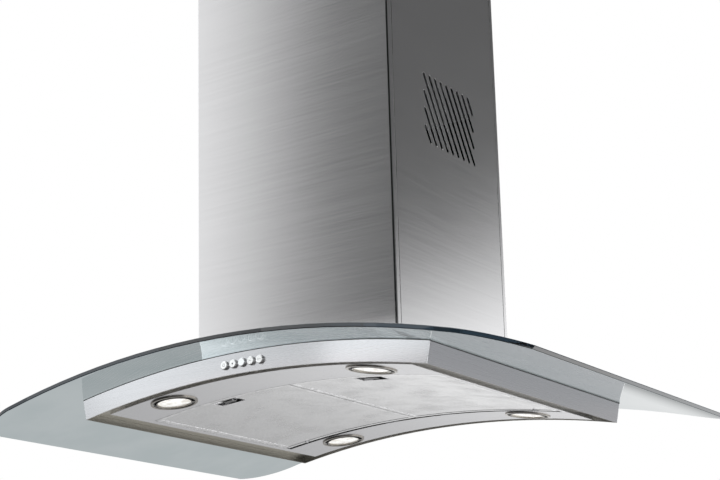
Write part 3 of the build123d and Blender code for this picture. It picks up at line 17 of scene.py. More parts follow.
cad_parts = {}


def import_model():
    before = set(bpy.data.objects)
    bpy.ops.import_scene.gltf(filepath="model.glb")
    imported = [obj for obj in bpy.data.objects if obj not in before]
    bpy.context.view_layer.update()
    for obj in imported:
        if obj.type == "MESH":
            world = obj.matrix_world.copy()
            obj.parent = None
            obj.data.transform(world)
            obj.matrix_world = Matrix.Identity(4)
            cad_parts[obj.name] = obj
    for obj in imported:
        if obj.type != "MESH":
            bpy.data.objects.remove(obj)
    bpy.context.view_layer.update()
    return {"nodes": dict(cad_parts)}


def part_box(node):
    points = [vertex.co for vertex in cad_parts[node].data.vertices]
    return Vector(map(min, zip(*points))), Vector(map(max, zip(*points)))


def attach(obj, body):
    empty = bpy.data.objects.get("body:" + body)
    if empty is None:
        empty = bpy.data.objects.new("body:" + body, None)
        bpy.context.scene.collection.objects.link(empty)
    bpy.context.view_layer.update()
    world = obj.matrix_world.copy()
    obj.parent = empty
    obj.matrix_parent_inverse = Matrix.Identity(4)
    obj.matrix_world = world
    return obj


LOG = logging.getLogger("cooker_hood")
MM = 0.001
MIX_COLOURS = (6, 7)                      # places of the Mix node's two colour inputs
MIX_RESULT = 2                            # place of its colour output
EDGE_SAMPLES = 4
EDGE_SPAN = (0.80, 0.995)                 # how far a rounded normal turns from a full edge to flat
WHITE = (1.0, 1.0, 1.0)
LAMP_PLACES = ("front_left", "front_right", "rear_left", "rear_right")
Pair = tuple[float, float]
Triple = tuple[float, float, float]       # a colour, place or direction
Span = tuple[float, float, float, float]  # where a step starts and ends, its level before and after
Socket = bpy.types.NodeSocket


class Grain(Enum):
    """Direction of a sheet's brushed lines, and the faces it is meant for."""

    LEVEL_ON_WALLS = "level lines on upright faces"
    ACROSS_UNDERNEATH = "lines from left to right on faces that look down"


# ---- node helpers ----
class Tree:
    """A node tree, and the joining of its sockets."""

    def __init__(self, tree: bpy.types.NodeTree) -> None:
        """Starts from an empty tree."""
        self.tree = tree
        self.tree.nodes.clear()

    def feed(self, socket: Socket, value: object) -> None:
        """Joins a socket to an output, or sets its value.

        Args:
            socket: the input.
            value: an output socket, a number or a tuple.
        """
        if isinstance(value, Socket):
            self.tree.links.new(value, socket)
        else:
            socket.default_value = value

    def add(self, kind: str, inputs: dict[str | int, object] | None = None,
            **settings: object) -> bpy.types.Node:
        """Adds a node.

        Args:
            kind: its class name, without "ShaderNode" where it starts so.
            inputs: values or outputs for its inputs, by name or place.
            settings: attributes to set first.

        Returns:
            The new node.
        """
        node = self.tree.nodes.new(kind if kind.startswith("GeometryNode") else "ShaderNode" + kind)
        for name, value in settings.items():
            setattr(node, name, value)
        for key, value in (inputs or {}).items():
            self.feed(node.inputs[key], value)
        return node

    def parts(self, vector: Socket) -> list[Socket]:
        """X, Y and Z of a vector."""
        return list(self.add("SeparateXYZ", {0: vector}).outputs)

    def math(self, operation: str, first: object, second: object = 0.0,
             clamp: bool = False) -> Socket:
        """Math node.

        Args:
            operation: its operation.
            first: output or number.
            second: output or number.
            clamp: True to keep the result between 0 and 1.

        Returns:
            The result's socket.
        """
        return self.add("Math", {0: first, 1: second}, operation=operation, use_clamp=clamp).outputs[0]

    def times(self, first: object, second: object) -> Socket:
        """Product of two values."""
        return self.math("MULTIPLY", first, second)


class Nodes(Tree):
    """Shader nodes of one material or world."""

    def ramp(self, value: object, low: float, high: float, start: float, end: float) -> Socket:
        """Smooth step of a value between two limits.

        Args:
            value: output or number.
            low: where the step begins.
            high: where it ends.
            start: result at low.
            end: result at high.

        Returns:
            The result's socket.
        """
        inputs = {"Value": value, "From Min": low, "From Max": high, "To Min": start, "To Max": end}
        return self.add("MapRange", inputs, interpolation_type="SMOOTHSTEP").outputs["Result"]

    def mix(self, factor: object, first: object, second: object) -> Socket:
        """Colour mix.

        Args:
            factor: output or number.
            first: colour at 0.
            second: colour at 1.

        Returns:
            The colour's socket.
        """
        colours = dict(zip(MIX_COLOURS, (opaque(first), opaque(second))))
        return self.add("Mix", {0: factor, **colours}, data_type="RGBA").outputs[MIX_RESULT]

    def blend(self, factor: Socket, first: Socket, second: Socket) -> Socket:
        """Mixes two shaders, and gives the second where the factor is 1."""
        return self.add("MixShader", {0: factor, 1: first, 2: second}).outputs[0]


def opaque(colour: object) -> object:
    """Adds alpha 1 to a colour of three numbers."""
    return (*colour, 1.0) if isinstance(colour, tuple) and len(colour) == 3 else colour


class Paint(Nodes):
    """One material round a Principled shader."""

    def __init__(self, name: str) -> None:
        """Makes the material and its shader.

        Args:
            name: of the material.
        """
        self.material = bpy.data.materials.new(name)
        self.material.use_nodes = True
        super().__init__(self.material.node_tree)
        self.shader = self.add("BsdfPrincipled")
        self.output = self.add("OutputMaterial", {"Surface": self.shader.outputs["BSDF"]})
        self.place = self.add("TexCoord").outputs["Object"]

    def set(self, **values: object) -> None:
        """Sets or joins the shader's inputs, with _ for a space in their names."""
        for name, value in values.items():
            self.feed(self.shader.inputs[name.replace("_", " ")], opaque(value))

    def cover(self, share: Socket, other: bpy.types.Node) -> None:
        """Shows another shader where share is 1."""
        self.feed(self.output.inputs["Surface"],
                  self.blend(share, self.shader.outputs["BSDF"], other.outputs[0]))

    def noise(self, scale: Triple | float, detail: float = 3.0, rough: float = 0.55,
              turn: Triple = (0.0, 0.0, 0.0)) -> Socket:
        """Noise on the object's own coordinates.

        Args:
            scale: repeats in a metre, one number or one for each axis.
            detail: octaves.
            rough: weight of the fine octaves.
            turn: turn of the pattern, in radians.

        Returns:
            The factor's socket.
        """
        scales = (scale,) * 3 if isinstance(scale, float) else scale
        mapping = self.add("Mapping", {"Vector": self.place, "Scale": scales, "Rotation": turn})
        return self.add("TexNoise", {"Vector": mapping.outputs["Vector"], "Scale": 1.0, "Detail": detail,
                                     "Roughness": rough}).outputs["Fac"]

    def cells(self, scale: float, feature: str = "F1") -> bpy.types.Node:
        """Voronoi cells, as many in a metre as scale."""
        return self.add("TexVoronoi", {"Vector": self.place, "Scale": scale}, feature=feature)

    def bump(self, height: object, distance: float, strength: float = 1.0,
             normal: object = None) -> Socket:
        """Bump from a height.

        Args:
            height: output that gives the height.
            distance: height of 1, in metres.
            strength: share of the bump that is used.
            normal: normal to start from, if any.

        Returns:
            The normal's socket.
        """
        inputs = {"Height": height, "Distance": distance, "Strength": strength}
        if normal is not None:
            inputs["Normal"] = normal
        return self.add("Bump", inputs).outputs["Normal"]

    def dot(self, first: Socket, second: Socket) -> Socket:
        """Dot product of two vectors."""
        return self.add("VectorMath", {0: first, 1: second}, operation="DOT_PRODUCT").outputs["Value"]

    def soft_edge(self, radius: float) -> tuple[Socket, Socket]:
        """Rounded look of the edges.

        Args:
            radius: of the rounding, in metres.

        Returns:
            The rounded normal and a factor that is 1 on the edges.
        """
        rounded = self.add("Bevel", {"Radius": radius}, samples=EDGE_SAMPLES).outputs["Normal"]
        flat = self.add("NewGeometry").outputs["Normal"]
        return rounded, self.ramp(self.dot(rounded, flat), *EDGE_SPAN, 1.0, 0.0)

    def inward(self) -> Socket:
        """Tells the faces that look towards the object's upright axis.

        Returns:
            The factor's socket, 1 on those faces and 0 on others.
        """
        level = self.add("VectorMath", {0: self.place, 1: (1.0, 1.0, 0.0)}, operation="MULTIPLY")
        facing = self.dot(level.outputs["Vector"], self.add("NewGeometry").outputs["True Normal"])
        return self.math("LESS_THAN", facing, 0.0)

    def within(self, half_x: float, half_y: float) -> Socket:
        """Gives 1 inside an upright box round the object's axis, else 0.

        Args:
            half_x: half the box's width.
            half_y: half its depth.

        Returns:
            The factor's socket.
        """
        return self.times(*(self.math("LESS_THAN", self.math("ABSOLUTE", place), half)
                            for place, half in zip(self.parts(self.place), (half_x, half_y))))

    def tangent(self, direction: Triple) -> None:
        """Sets the direction along which highlights stretch.

        Args:
            direction: in the object's own axes.
        """
        turn = self.add("VectorTransform", {"Vector": direction}, vector_type="VECTOR",
                        convert_from="OBJECT", convert_to="WORLD")
        self.feed(self.shader.inputs["Tangent"], turn.outputs["Vector"])


# ---- finishes ----
@dataclass(frozen=True)
class Finish:
    """One finish, which fills a material in."""

    name: str

    def make(self) -> bpy.types.Material:
        """Builds the material.

        Returns:
            The material.
        """
        paint = Paint(self.name)
        self.fill(paint)
        return paint.material


@dataclass(frozen=True)
class BrushedSteel(Finish):
    """Brushed stainless sheet: fine lines, a little colour variation and brighter edges, which are a
    painted edge highlight.

    Faces that look towards the hood's middle, and what lies within the shell's half width and half
    depth, have the tone called inside where one is given. That tone is painted light and shade: it stands
    in for how much light reaches those faces, near black inside the chimney and paler or dimmer in the
    body.
    """

    grain: Grain = Grain.LEVEL_ON_WALLS
    tone: Triple = (0.74, 0.74, 0.75)
    rough: float = 0.18
    stretch: float = 0.35
    line: float = 1700.0
    corner: float = 0.7 * MM
    inside: Triple | None = None
    shell: Pair = (0.0, 0.0)
    along: float = 9.0
    band: float = 240.0
    band_along: float = 2.0
    edge_highlight_tone: Triple = (0.93, 0.93, 0.94)
    edge_highlight_share: float = 0.6
    line_depth: float = 0.0000006

    def fill(self, paint: Paint) -> None:
        """Fills the material in.

        Args:
            paint: the material's nodes.
        """
        if self.grain is Grain.LEVEL_ON_WALLS:
            fine, broad = (self.along, self.along, self.line), (self.band_along, self.band_along, self.band)
            across = (0.0, 0.0, 1.0)
        else:
            fine, broad = (self.along, self.line, self.along), (self.band_along, self.band, self.band_along)
            across = (0.0, 1.0, 0.0)
        lines = paint.noise(fine, detail=2.0, rough=0.6)
        bands = paint.noise(broad, detail=2.0)
        cloud = paint.noise(3.0, detail=2.0)
        shade = paint.math("ADD", paint.times(lines, 0.55), paint.times(bands, 0.45))
        dark = tuple(0.97 * v for v in self.tone)
        light = tuple(min(1.0, 1.02 * v) for v in self.tone)
        rounded, edge_lightening = paint.soft_edge(self.corner)
        colour = paint.mix(paint.ramp(shade, 0.3, 0.7, 0.0, 1.0), dark, light)
        # painted highlight: the edges are lightened towards the edge highlight tone, standing in for light
        # that catches them
        colour = paint.mix(paint.times(edge_lightening, self.edge_highlight_share), colour, self.edge_highlight_tone)
        # painted light and shade: inner faces and what lies inside the shell take the inside tone
        if self.inside:
            inner_light_and_shade_mask = paint.math("MAXIMUM", paint.inward(), paint.within(*self.shell))
            colour = paint.mix(inner_light_and_shade_mask, colour, self.inside)
        rough = paint.math("ADD", paint.ramp(lines, 0.3, 0.7, self.rough - 0.01, self.rough + 0.02),
                           paint.ramp(cloud, 0.3, 0.7, -0.01, 0.01))
        paint.set(Base_Color=colour, Roughness=rough, Metallic=1.0, Anisotropic=self.stretch,
                  Normal=paint.bump(lines, self.line_depth, 0.3, rounded))
        paint.tangent(across)


@dataclass(frozen=True)
class ClearGlass(Finish):
    """Bent float glass with a blue-green body tint, and the deep colour that shows through its rim.

    Light passes through it, so it casts only a faint shadow.
    """

    face_tint: Triple = (0.54, 0.67, 0.70)
    rim_tint: Triple = (0.0006, 0.0016, 0.003)
    shade_tint: Triple = (0.95, 0.965, 0.97)
    smear_tint: Triple = (0.70, 0.82, 0.85)
    index: float = 1.55
    rim_slope: Pair = (0.905, 0.945)
    face_gloss: float = 0.5
    rim_gloss: float = 0.04

    def fill(self, paint: Paint) -> None:
        """Fills the material in.

        Args:
            paint: the material's nodes.
        """
        smear = paint.noise(9.0, detail=3.0)
        upward = paint.parts(paint.add("NewGeometry").outputs["True Normal"])[2]
        rim = paint.ramp(paint.math("ABSOLUTE", upward), *self.rim_slope, 1.0, 0.0)
        tint = paint.mix(paint.ramp(smear, 0.35, 0.7, 0.0, 0.7), self.face_tint, self.smear_tint)
        paint.set(Base_Color=paint.mix(rim, tint, self.rim_tint), IOR=self.index, Transmission_Weight=1.0,
                  Specular_IOR_Level=paint.ramp(rim, 0.0, 1.0, self.face_gloss, self.rim_gloss),
                  Roughness=paint.ramp(smear, 0.4, 0.8, 0.0, 0.02))
        path = paint.add("LightPath")
        clear = paint.math("ADD", path.outputs["Is Shadow Ray"], path.outputs["Is Glossy Ray"], clamp=True)
        paint.cover(clear, paint.add("BsdfTransparent", {"Color": opaque(self.shade_tint)}))


@dataclass(frozen=True)
class PlatedMetal(Finish):
    """Polished or zinc plating with faint mottling and light handling marks."""

    tone: Triple
    rough: float
    mottle: float = 0.04

    def fill(self, paint: Paint) -> None:
        """Fills the material in.

        Args:
            paint: the material's nodes.
        """
        patches = paint.noise(160.0, detail=3.0)
        marks = paint.noise((900.0, 900.0, 90.0), detail=2.0, turn=(0.3, 0.5, 0.9))
        rounded, edge_lightening = paint.soft_edge(0.3 * MM)
        dark = tuple(v * (1 - 2 * self.mottle) for v in self.tone)
        colour = paint.mix(paint.ramp(patches, 0.3, 0.7, 0.0, 1.0), dark, self.tone)
        colour = paint.mix(paint.times(edge_lightening, 0.5), colour, (0.95, 0.95, 0.95))
        paint.set(Base_Color=colour, Metallic=1.0,
                  Roughness=paint.ramp(marks, 0.3, 0.7, self.rough * 0.7, self.rough * 1.3),
                  Normal=paint.bump(patches, 0.00001, 0.3, rounded))


@dataclass(frozen=True)
class Galvanised(Finish):
    """Hot-dipped sheet with spangles."""

    tone: Triple = (0.55, 0.57, 0.59)
    spangle: float = 130.0

    def fill(self, paint: Paint) -> None:
        """Fills the material in.

        Args:
            paint: the material's nodes.
        """
        cells = paint.cells(self.spangle)
        shade = paint.add("SeparateColor", {0: cells.outputs["Color"]})
        film = paint.noise(30.0, detail=4.0)
        colour = paint.mix(shade.outputs[0], tuple(0.80 * v for v in self.tone), self.tone)
        colour = paint.mix(paint.ramp(film, 0.55, 0.8, 0.0, 0.4), colour, (0.46, 0.47, 0.48))
        rounded, edge_lightening = paint.soft_edge(0.5 * MM)
        colour = paint.mix(paint.times(edge_lightening, 0.5), colour, (0.75, 0.76, 0.77))
        paint.set(Base_Color=colour, Metallic=0.95,
                  Roughness=paint.ramp(shade.outputs[1], 0.0, 1.0, 0.34, 0.52),
                  Normal=paint.bump(cells.outputs["Distance"], 0.00002, 0.3, rounded))


@dataclass(frozen=True)
class FilterMetal(Finish):
    """Aluminium of the grease filters: fine crimped texture over a satin sheet."""

    tone: Triple
    rough: float
    crimp: float
    depth: float = 0.0001

    def fill(self, paint: Paint) -> None:
        """Fills the material in.

        Args:
            paint: the material's nodes.
        """
        crimps = paint.noise((self.crimp, self.crimp * 1.5, self.crimp), detail=2.0)
        film = paint.noise(22.0, detail=3.0)
        rounded, edge_lightening = paint.soft_edge(0.4 * MM)
        dark = tuple(0.82 * v for v in self.tone)
        colour = paint.mix(paint.ramp(crimps, 0.35, 0.65, 0.0, 1.0), dark, self.tone)
        colour = paint.mix(paint.ramp(film, 0.45, 0.85, 0.0, 0.25), colour, (0.60, 0.60, 0.58))
        colour = paint.mix(paint.times(edge_lightening, 0.6), colour, (0.94, 0.94, 0.95))
        paint.set(Base_Color=colour, Metallic=1.0,
                  Roughness=paint.ramp(film, 0.3, 0.8, self.rough - 0.04, self.rough + 0.06),
                  Normal=paint.bump(crimps, self.depth, 0.5, rounded))


@dataclass(frozen=True)
class Moulded(Finish):
    """Moulded plastic, rubber and enamel, and the near black of the lamp housings, which is painted shade:
    fine pores, faint dust and lighter edges.
    """

    tone: Triple
    rough: float
    pores: float = 900.0
    depth: float = 0.00003
    coat: float = 0.0

    def fill(self, paint: Paint) -> None:
        """Fills the material in.

        Args:
            paint: the material's nodes.
        """
        pores = paint.noise(self.pores, detail=2.0)
        dust = paint.noise(45.0, detail=4.0)
        rounded, edge_lightening = paint.soft_edge(0.5 * MM)
        pale = tuple(min(1.0, v * 1.25 + 0.02) for v in self.tone)
        colour = paint.mix(paint.ramp(dust, 0.45, 0.75, 0.0, 0.35), self.tone, pale)
        colour = paint.mix(paint.times(edge_lightening, 0.5), colour, pale)
        paint.set(Base_Color=colour, Coat_Weight=self.coat,
                  Roughness=paint.ramp(dust, 0.3, 0.7, self.rough - 0.05, self.rough + 0.08),
                  Normal=paint.bump(pores, self.depth, 0.4, rounded))


@dataclass(frozen=True)
class LatchMetal(Finish):
    """Satin latch plate, near black where the finger recess is: painted shade."""

    tone: Triple = (0.78, 0.78, 0.79)
    recess_shade_tone: Triple = (0.03, 0.03, 0.03)
    middle_x: float = 128.0 * MM
    half_x: float = 10.5 * MM
    blend: float = 0.5 * MM

    def fill(self, paint: Paint) -> None:
        """Fills the material in.

        Args:
            paint: the material's nodes.
        """
        grain = paint.noise(700.0, detail=2.0)
        reach = paint.math("ABSOLUTE", paint.parts(paint.place)[0])
        away = paint.math("ABSOLUTE", paint.math("SUBTRACT", reach, self.middle_x))
        # painted shade: near black, not metal, over the finger recess in the middle of the latch
        recess_shade = paint.ramp(away, self.half_x, self.half_x + self.blend, 1.0, 0.0)
        metal = paint.mix(grain, tuple(0.85 * v for v in self.tone), self.tone)
        paint.set(Base_Color=paint.mix(recess_shade, metal, self.recess_shade_tone),
                  Metallic=paint.math("SUBTRACT", 1.0, recess_shade),
                  Roughness=paint.ramp(grain, 0.3, 0.7, 0.28, 0.42), Normal=paint.bump(grain, 0.00002, 0.4))


@dataclass(frozen=True)
class FrostedLens(Finish):
    """Frosted lamp glass, pale and softly dimpled, with a faint inner light."""

    tone: Triple = (0.96, 0.96, 0.94)
    cloud_tone: Triple = (0.72, 0.69, 0.64)
    glow: float = 0.30

    def fill(self, paint: Paint) -> None:
        """Fills the material in.

        Args:
            paint: the material's nodes.
        """
        dimples = paint.cells(420.0, "SMOOTH_F1").outputs["Distance"]
        cloud = paint.noise(70.0, detail=2.0)
        colour = paint.mix(paint.ramp(cloud, 0.42, 0.62, 0.0, 1.0), self.tone, self.cloud_tone)
        paint.set(Base_Color=colour, Roughness=paint.ramp(cloud, 0.3, 0.7, 0.08, 0.2), Coat_Weight=0.6,
                  Transmission_Weight=0.25, IOR=1.5, Emission_Color=colour, Emission_Strength=self.glow,
                  Normal=paint.bump(dimples, 0.0002, 0.4))


@dataclass(frozen=True)
class BulbGlass(Finish):
    """Clear capsule of a lamp, milky towards its seal."""

    def fill(self, paint: Paint) -> None:
        """Fills the material in.

        Args:
            paint: the material's nodes.
        """
        milk = paint.noise(300.0, detail=2.0)
        paint.set(Base_Color=paint.mix(milk, (0.97, 0.97, 0.95), (0.88, 0.88, 0.85)), IOR=1.47,
                  Transmission_Weight=0.8, Roughness=paint.ramp(milk, 0.3, 0.7, 0.02, 0.25))


@dataclass(frozen=True)
class CircuitBoard(Finish):
    """Green solder mask with copper tracks showing through."""

    def fill(self, paint: Paint) -> None:
        """Fills the material in.

        Args:
            paint: the material's nodes.
        """
        tracks = paint.add("TexBrick", {"Vector": paint.place, "Scale": 160.0, "Mortar Size": 0.06},
                           offset=0.5)
        blend = paint.mix(tracks.outputs["Fac"], (0.02, 0.12, 0.05), (0.08, 0.24, 0.08))
        film = paint.noise(200.0, detail=2.0)
        paint.set(Base_Color=blend, Roughness=paint.ramp(film, 0.3, 0.7, 0.25, 0.4), Coat_Weight=0.4,
                  Normal=paint.bump(tracks.outputs["Fac"], 0.00004, 0.5))


class Finishes:
    """Every finish of the hood, built once."""

    def __init__(self) -> None:
        """Builds the materials by name."""
        made = [
            # the tones called inside are painted light and shade on inner faces: near black in the chimney,
            # pale on the body's front and rear walls, dim on its side walls
            BrushedSteel("steel_covers", rough=0.16, corner=0.5 * MM, inside=(0.02, 0.02, 0.02),
                         shell=(174.75 * MM, 153.75 * MM)),
            BrushedSteel("steel_upper_covers", rough=0.16, corner=0.5 * MM),
            # painted light and shade: the body's steel is one finish given a tone for each side, 0.65 front
            # and rear, 0.175 sides, 0.80 underneath and 0.60 in the shadow gap, to stand in for how each
            # side is lit
            BrushedSteel("steel_body_front", tone=(0.65, 0.65, 0.67), rough=0.26,
                         inside=(0.95, 0.93, 0.88)),
            BrushedSteel("steel_body_sides", tone=(0.175, 0.175, 0.184), rough=0.28,
                         inside=(0.27, 0.262, 0.24)),
            BrushedSteel("steel_underneath", Grain.ACROSS_UNDERNEATH, (0.80, 0.80, 0.82), 0.24),
            BrushedSteel("steel_shadow_gap", Grain.ACROSS_UNDERNEATH, (0.60, 0.585, 0.54), 0.30),
            ClearGlass("canopy_glass"),
            # painted shade: the lamp rings' chrome is given a dark tone, 0.30, standing in for the dark it
            # mirrors round the lens
            PlatedMetal("lamp_chrome", (0.30, 0.28, 0.25), 0.12),
            PlatedMetal("button_chrome", (0.92, 0.92, 0.92), 0.22),
            PlatedMetal("screw_zinc", (0.66, 0.66, 0.64), 0.30, 0.08),
            Galvanised("galvanised_sheet"),
            FilterMetal("filter_backing", (0.88, 0.88, 0.89), 0.24, 500.0, 0.00002),
            FilterMetal("filter_weave", (0.97, 0.97, 0.98), 0.20, 350.0, 0.000005),
            FilterMetal("filter_frame_metal", (0.97, 0.97, 0.98), 0.24, 90.0, 0.000005),
            # painted shade: the lamp housings are near black so that the gap round each lens shows dark
            Moulded("housing_lacquer", (0.03, 0.03, 0.03), 0.5),
            LatchMetal("latch_metal"),
            Moulded("black_plastic", (0.025, 0.025, 0.027), 0.45),
            Moulded("grey_plastic", (0.30, 0.31, 0.32), 0.42),
            Moulded("gasket_rubber", (0.02, 0.02, 0.02), 0.70, 400.0),
            Moulded("motor_enamel", (0.08, 0.09, 0.10), 0.30, 1500.0, 0.00001, 0.5),
            Moulded("capacitor_shell", (0.78, 0.79, 0.80), 0.28, 1200.0, 0.00001, 0.3),
            Moulded("mark_ink", (0.06, 0.06, 0.07), 0.45),
            FrostedLens("lamp_lens"),
            BulbGlass("bulb_glass"),
            CircuitBoard("circuit_board"),
        ]
        self.all = {finish.name: finish.make() for finish in made}

    def on(self, frame_nodes: dict[str, bpy.types.Object], finish: str, *nodes: str) -> None:
        """Gives CAD nodes a finish.

        Args:
            frame_nodes: the frame's nodes by name.
            finish: the finish's name.
            nodes: the nodes' names.
        """
        for name in nodes:
            mesh = frame_nodes[name].data
            mesh.materials.clear()
            mesh.materials.append(self.all[finish])
        LOG.info("%s on %s", finish, ", ".join(nodes))


# ---- geometry nodes ----
def placed(name: str, data: bpy.types.ID) -> bpy.types.Object:
    """Makes an object from its data and puts it in the scene.

    Args:
        name: of the object.
        data: its mesh, lamp or camera.

    Returns:
        The object.
    """
    thing = bpy.data.objects.new(name, data)
    bpy.context.scene.collection.objects.link(thing)
    return thing


class RepeatTree(Tree):
    """A Geometry Nodes tree that repeats a piece, with named inputs."""

    def __init__(self, name: str) -> None:
        """Starts the tree with its output.

        Args:
            name: of the tree.
        """
        super().__init__(bpy.data.node_groups.new(name, "GeometryNodeTree"))
        self.tree.interface.new_socket("Geometry", in_out="OUTPUT", socket_type="NodeSocketGeometry")
        self.keys: dict[str, str] = {}
        self.values: dict[str, object] = {}
        self.entry = self.tree.nodes.new("NodeGroupInput")
        self.exit = self.tree.nodes.new("NodeGroupOutput")

    def take(self, name: str, value: object) -> None:
        """Adds a named input.

        Args:
            name: of the input.
            value: a number, a whole number, an object or a material.
        """
        kinds = {float: "Float", int: "Int", bpy.types.Object: "Object", bpy.types.Material: "Material"}
        socket = self.tree.interface.new_socket(name, in_out="INPUT",
                                                socket_type="NodeSocket" + kinds[type(value)])
        self.keys[name] = socket.identifier
        self.values[name] = value

    def __getitem__(self, name: str) -> Socket:
        """Socket of a named input."""
        return self.entry.outputs[name]

    def shape(self, kind: str, inputs: dict[str, object] | None = None) -> Socket:
        """Adds a geometry node, named without "GeometryNode", and gives its first output."""
        return self.add("GeometryNode" + kind, inputs).outputs[0]

    def vector(self, **parts: object) -> Socket:
        """Vector of the parts x, y and z, and 0 for a part that isn't given."""
        joined = self.add("CombineXYZ", {axis.upper(): part for axis, part in parts.items()})
        return joined.outputs[0]

    def finish(self, geometry: Socket, finish: Socket) -> None:
        """Ends the tree with Realize Instances and Set Material."""
        plain = self.shape("RealizeInstances", {"Geometry": geometry})
        self.feed(self.exit.inputs[0], self.shape("SetMaterial", {"Geometry": plain, "Material": finish}))

    def mesh(self, name: str) -> bpy.types.Object:
        """Runs the tree once.

        Args:
            name: of the plain mesh object that it gives.

        Returns:
            The object, at the origin.
        """
        carrier = placed(name + "_carrier", bpy.data.meshes.new(name + "_carrier"))
        modifier = carrier.modifiers.new("repeat", "NODES")
        modifier.node_group = self.tree
        for key, identifier in self.keys.items():
            modifier[identifier] = self.values[key]
        bpy.context.view_layer.update()
        solved = carrier.evaluated_get(bpy.context.evaluated_depsgraph_get())
        shape = bpy.data.meshes.new_from_object(solved)
        carrier.modifiers.remove(modifier)
        bpy.data.objects.remove(carrier)
        shape.name = name
        return placed(name, shape)


def hidden_pattern(name: str, build: bmesh.types.BMesh) -> bpy.types.Object:
    """Makes an object that is only copied by a tree, and isn't shown itself.

    Args:
        name: of the object.
        build: its mesh, which is freed.

    Returns:
        The object.
    """
    bmesh.ops.recalc_face_normals(build, faces=build.faces)
    mesh = bpy.data.meshes.new(name)
    build.to_mesh(mesh)
    build.free()
    return bpy.data.objects.new(name, mesh)


def ring_of_four(half_x: float, half_y: float, strand: float, thick: float) -> bmesh.types.BMesh:
    """One diamond of expanded metal: four flat strands round an opening.

    Args:
        half_x: half the diamond's width, to the middle of the strands.
        half_y: half its length.
        strand: a strand's width.
        thick: the sheet's thickness; it lies below the pattern's origin.

    Returns:
        The mesh.
    """
    shape = bmesh.new()
    slope = math.hypot(half_x, half_y)
    loops = []
    for offset in (strand / 2, -strand / 2):
        reach_x = half_x + offset * slope / half_y
        reach_y = half_y + offset * slope / half_x
        for z in (0.0, -thick):
            corners = ((reach_x, 0), (0, reach_y), (-reach_x, 0), (0, -reach_y))
            loops.append([shape.verts.new((x, y, z)) for x, y in corners])
    outer_top, outer_low, inner_top, inner_low = loops
    for a, b in ((outer_top, outer_low), (outer_low, inner_low), (inner_low, inner_top),
                 (inner_top, outer_top)):
        for i in range(4):
            j = (i + 1) % 4
            shape.faces.new((a[i], a[j], b[j], b[i]))
    return shape


# ---- sub-assemblies ----
@dataclass
class Assembly:
    """Pieces that belong together. Each class lists which nodes wear which finish."""

    nodes: dict[str, bpy.types.Object]
    finishes: Finishes
    wears: ClassVar[dict[str, tuple[str, ...]]] = {}

    def dress(self) -> None:
        """Gives each piece its finish."""
        for finish, names in self.wears.items():
            self.finishes.on(self.nodes, finish, *names)


class GlassCanopy(Assembly):
    """Bent glass with its gaskets, sleeves and bolts."""

    wears = {
        "canopy_glass": ("glass_canopy",),
        "gasket_rubber": ("glass_gasket_lower", "glass_gasket_upper"),
        "black_plastic": ("glass_bushings",),
        "screw_zinc": ("glass_clamp_bolts",),
    }


class HoodBody(Assembly):
    """Arched body: four walls, top deck, rim frame over the shadow gap and the lamp panel."""

    wears = {
        "steel_body_front": ("body_front_panel", "body_rear_panel"),
        "steel_body_sides": ("body_left_panel", "body_right_panel"),
        "steel_underneath": ("lamp_panel",),
        "steel_shadow_gap": ("body_rim_frame", "body_top_deck"),
    }


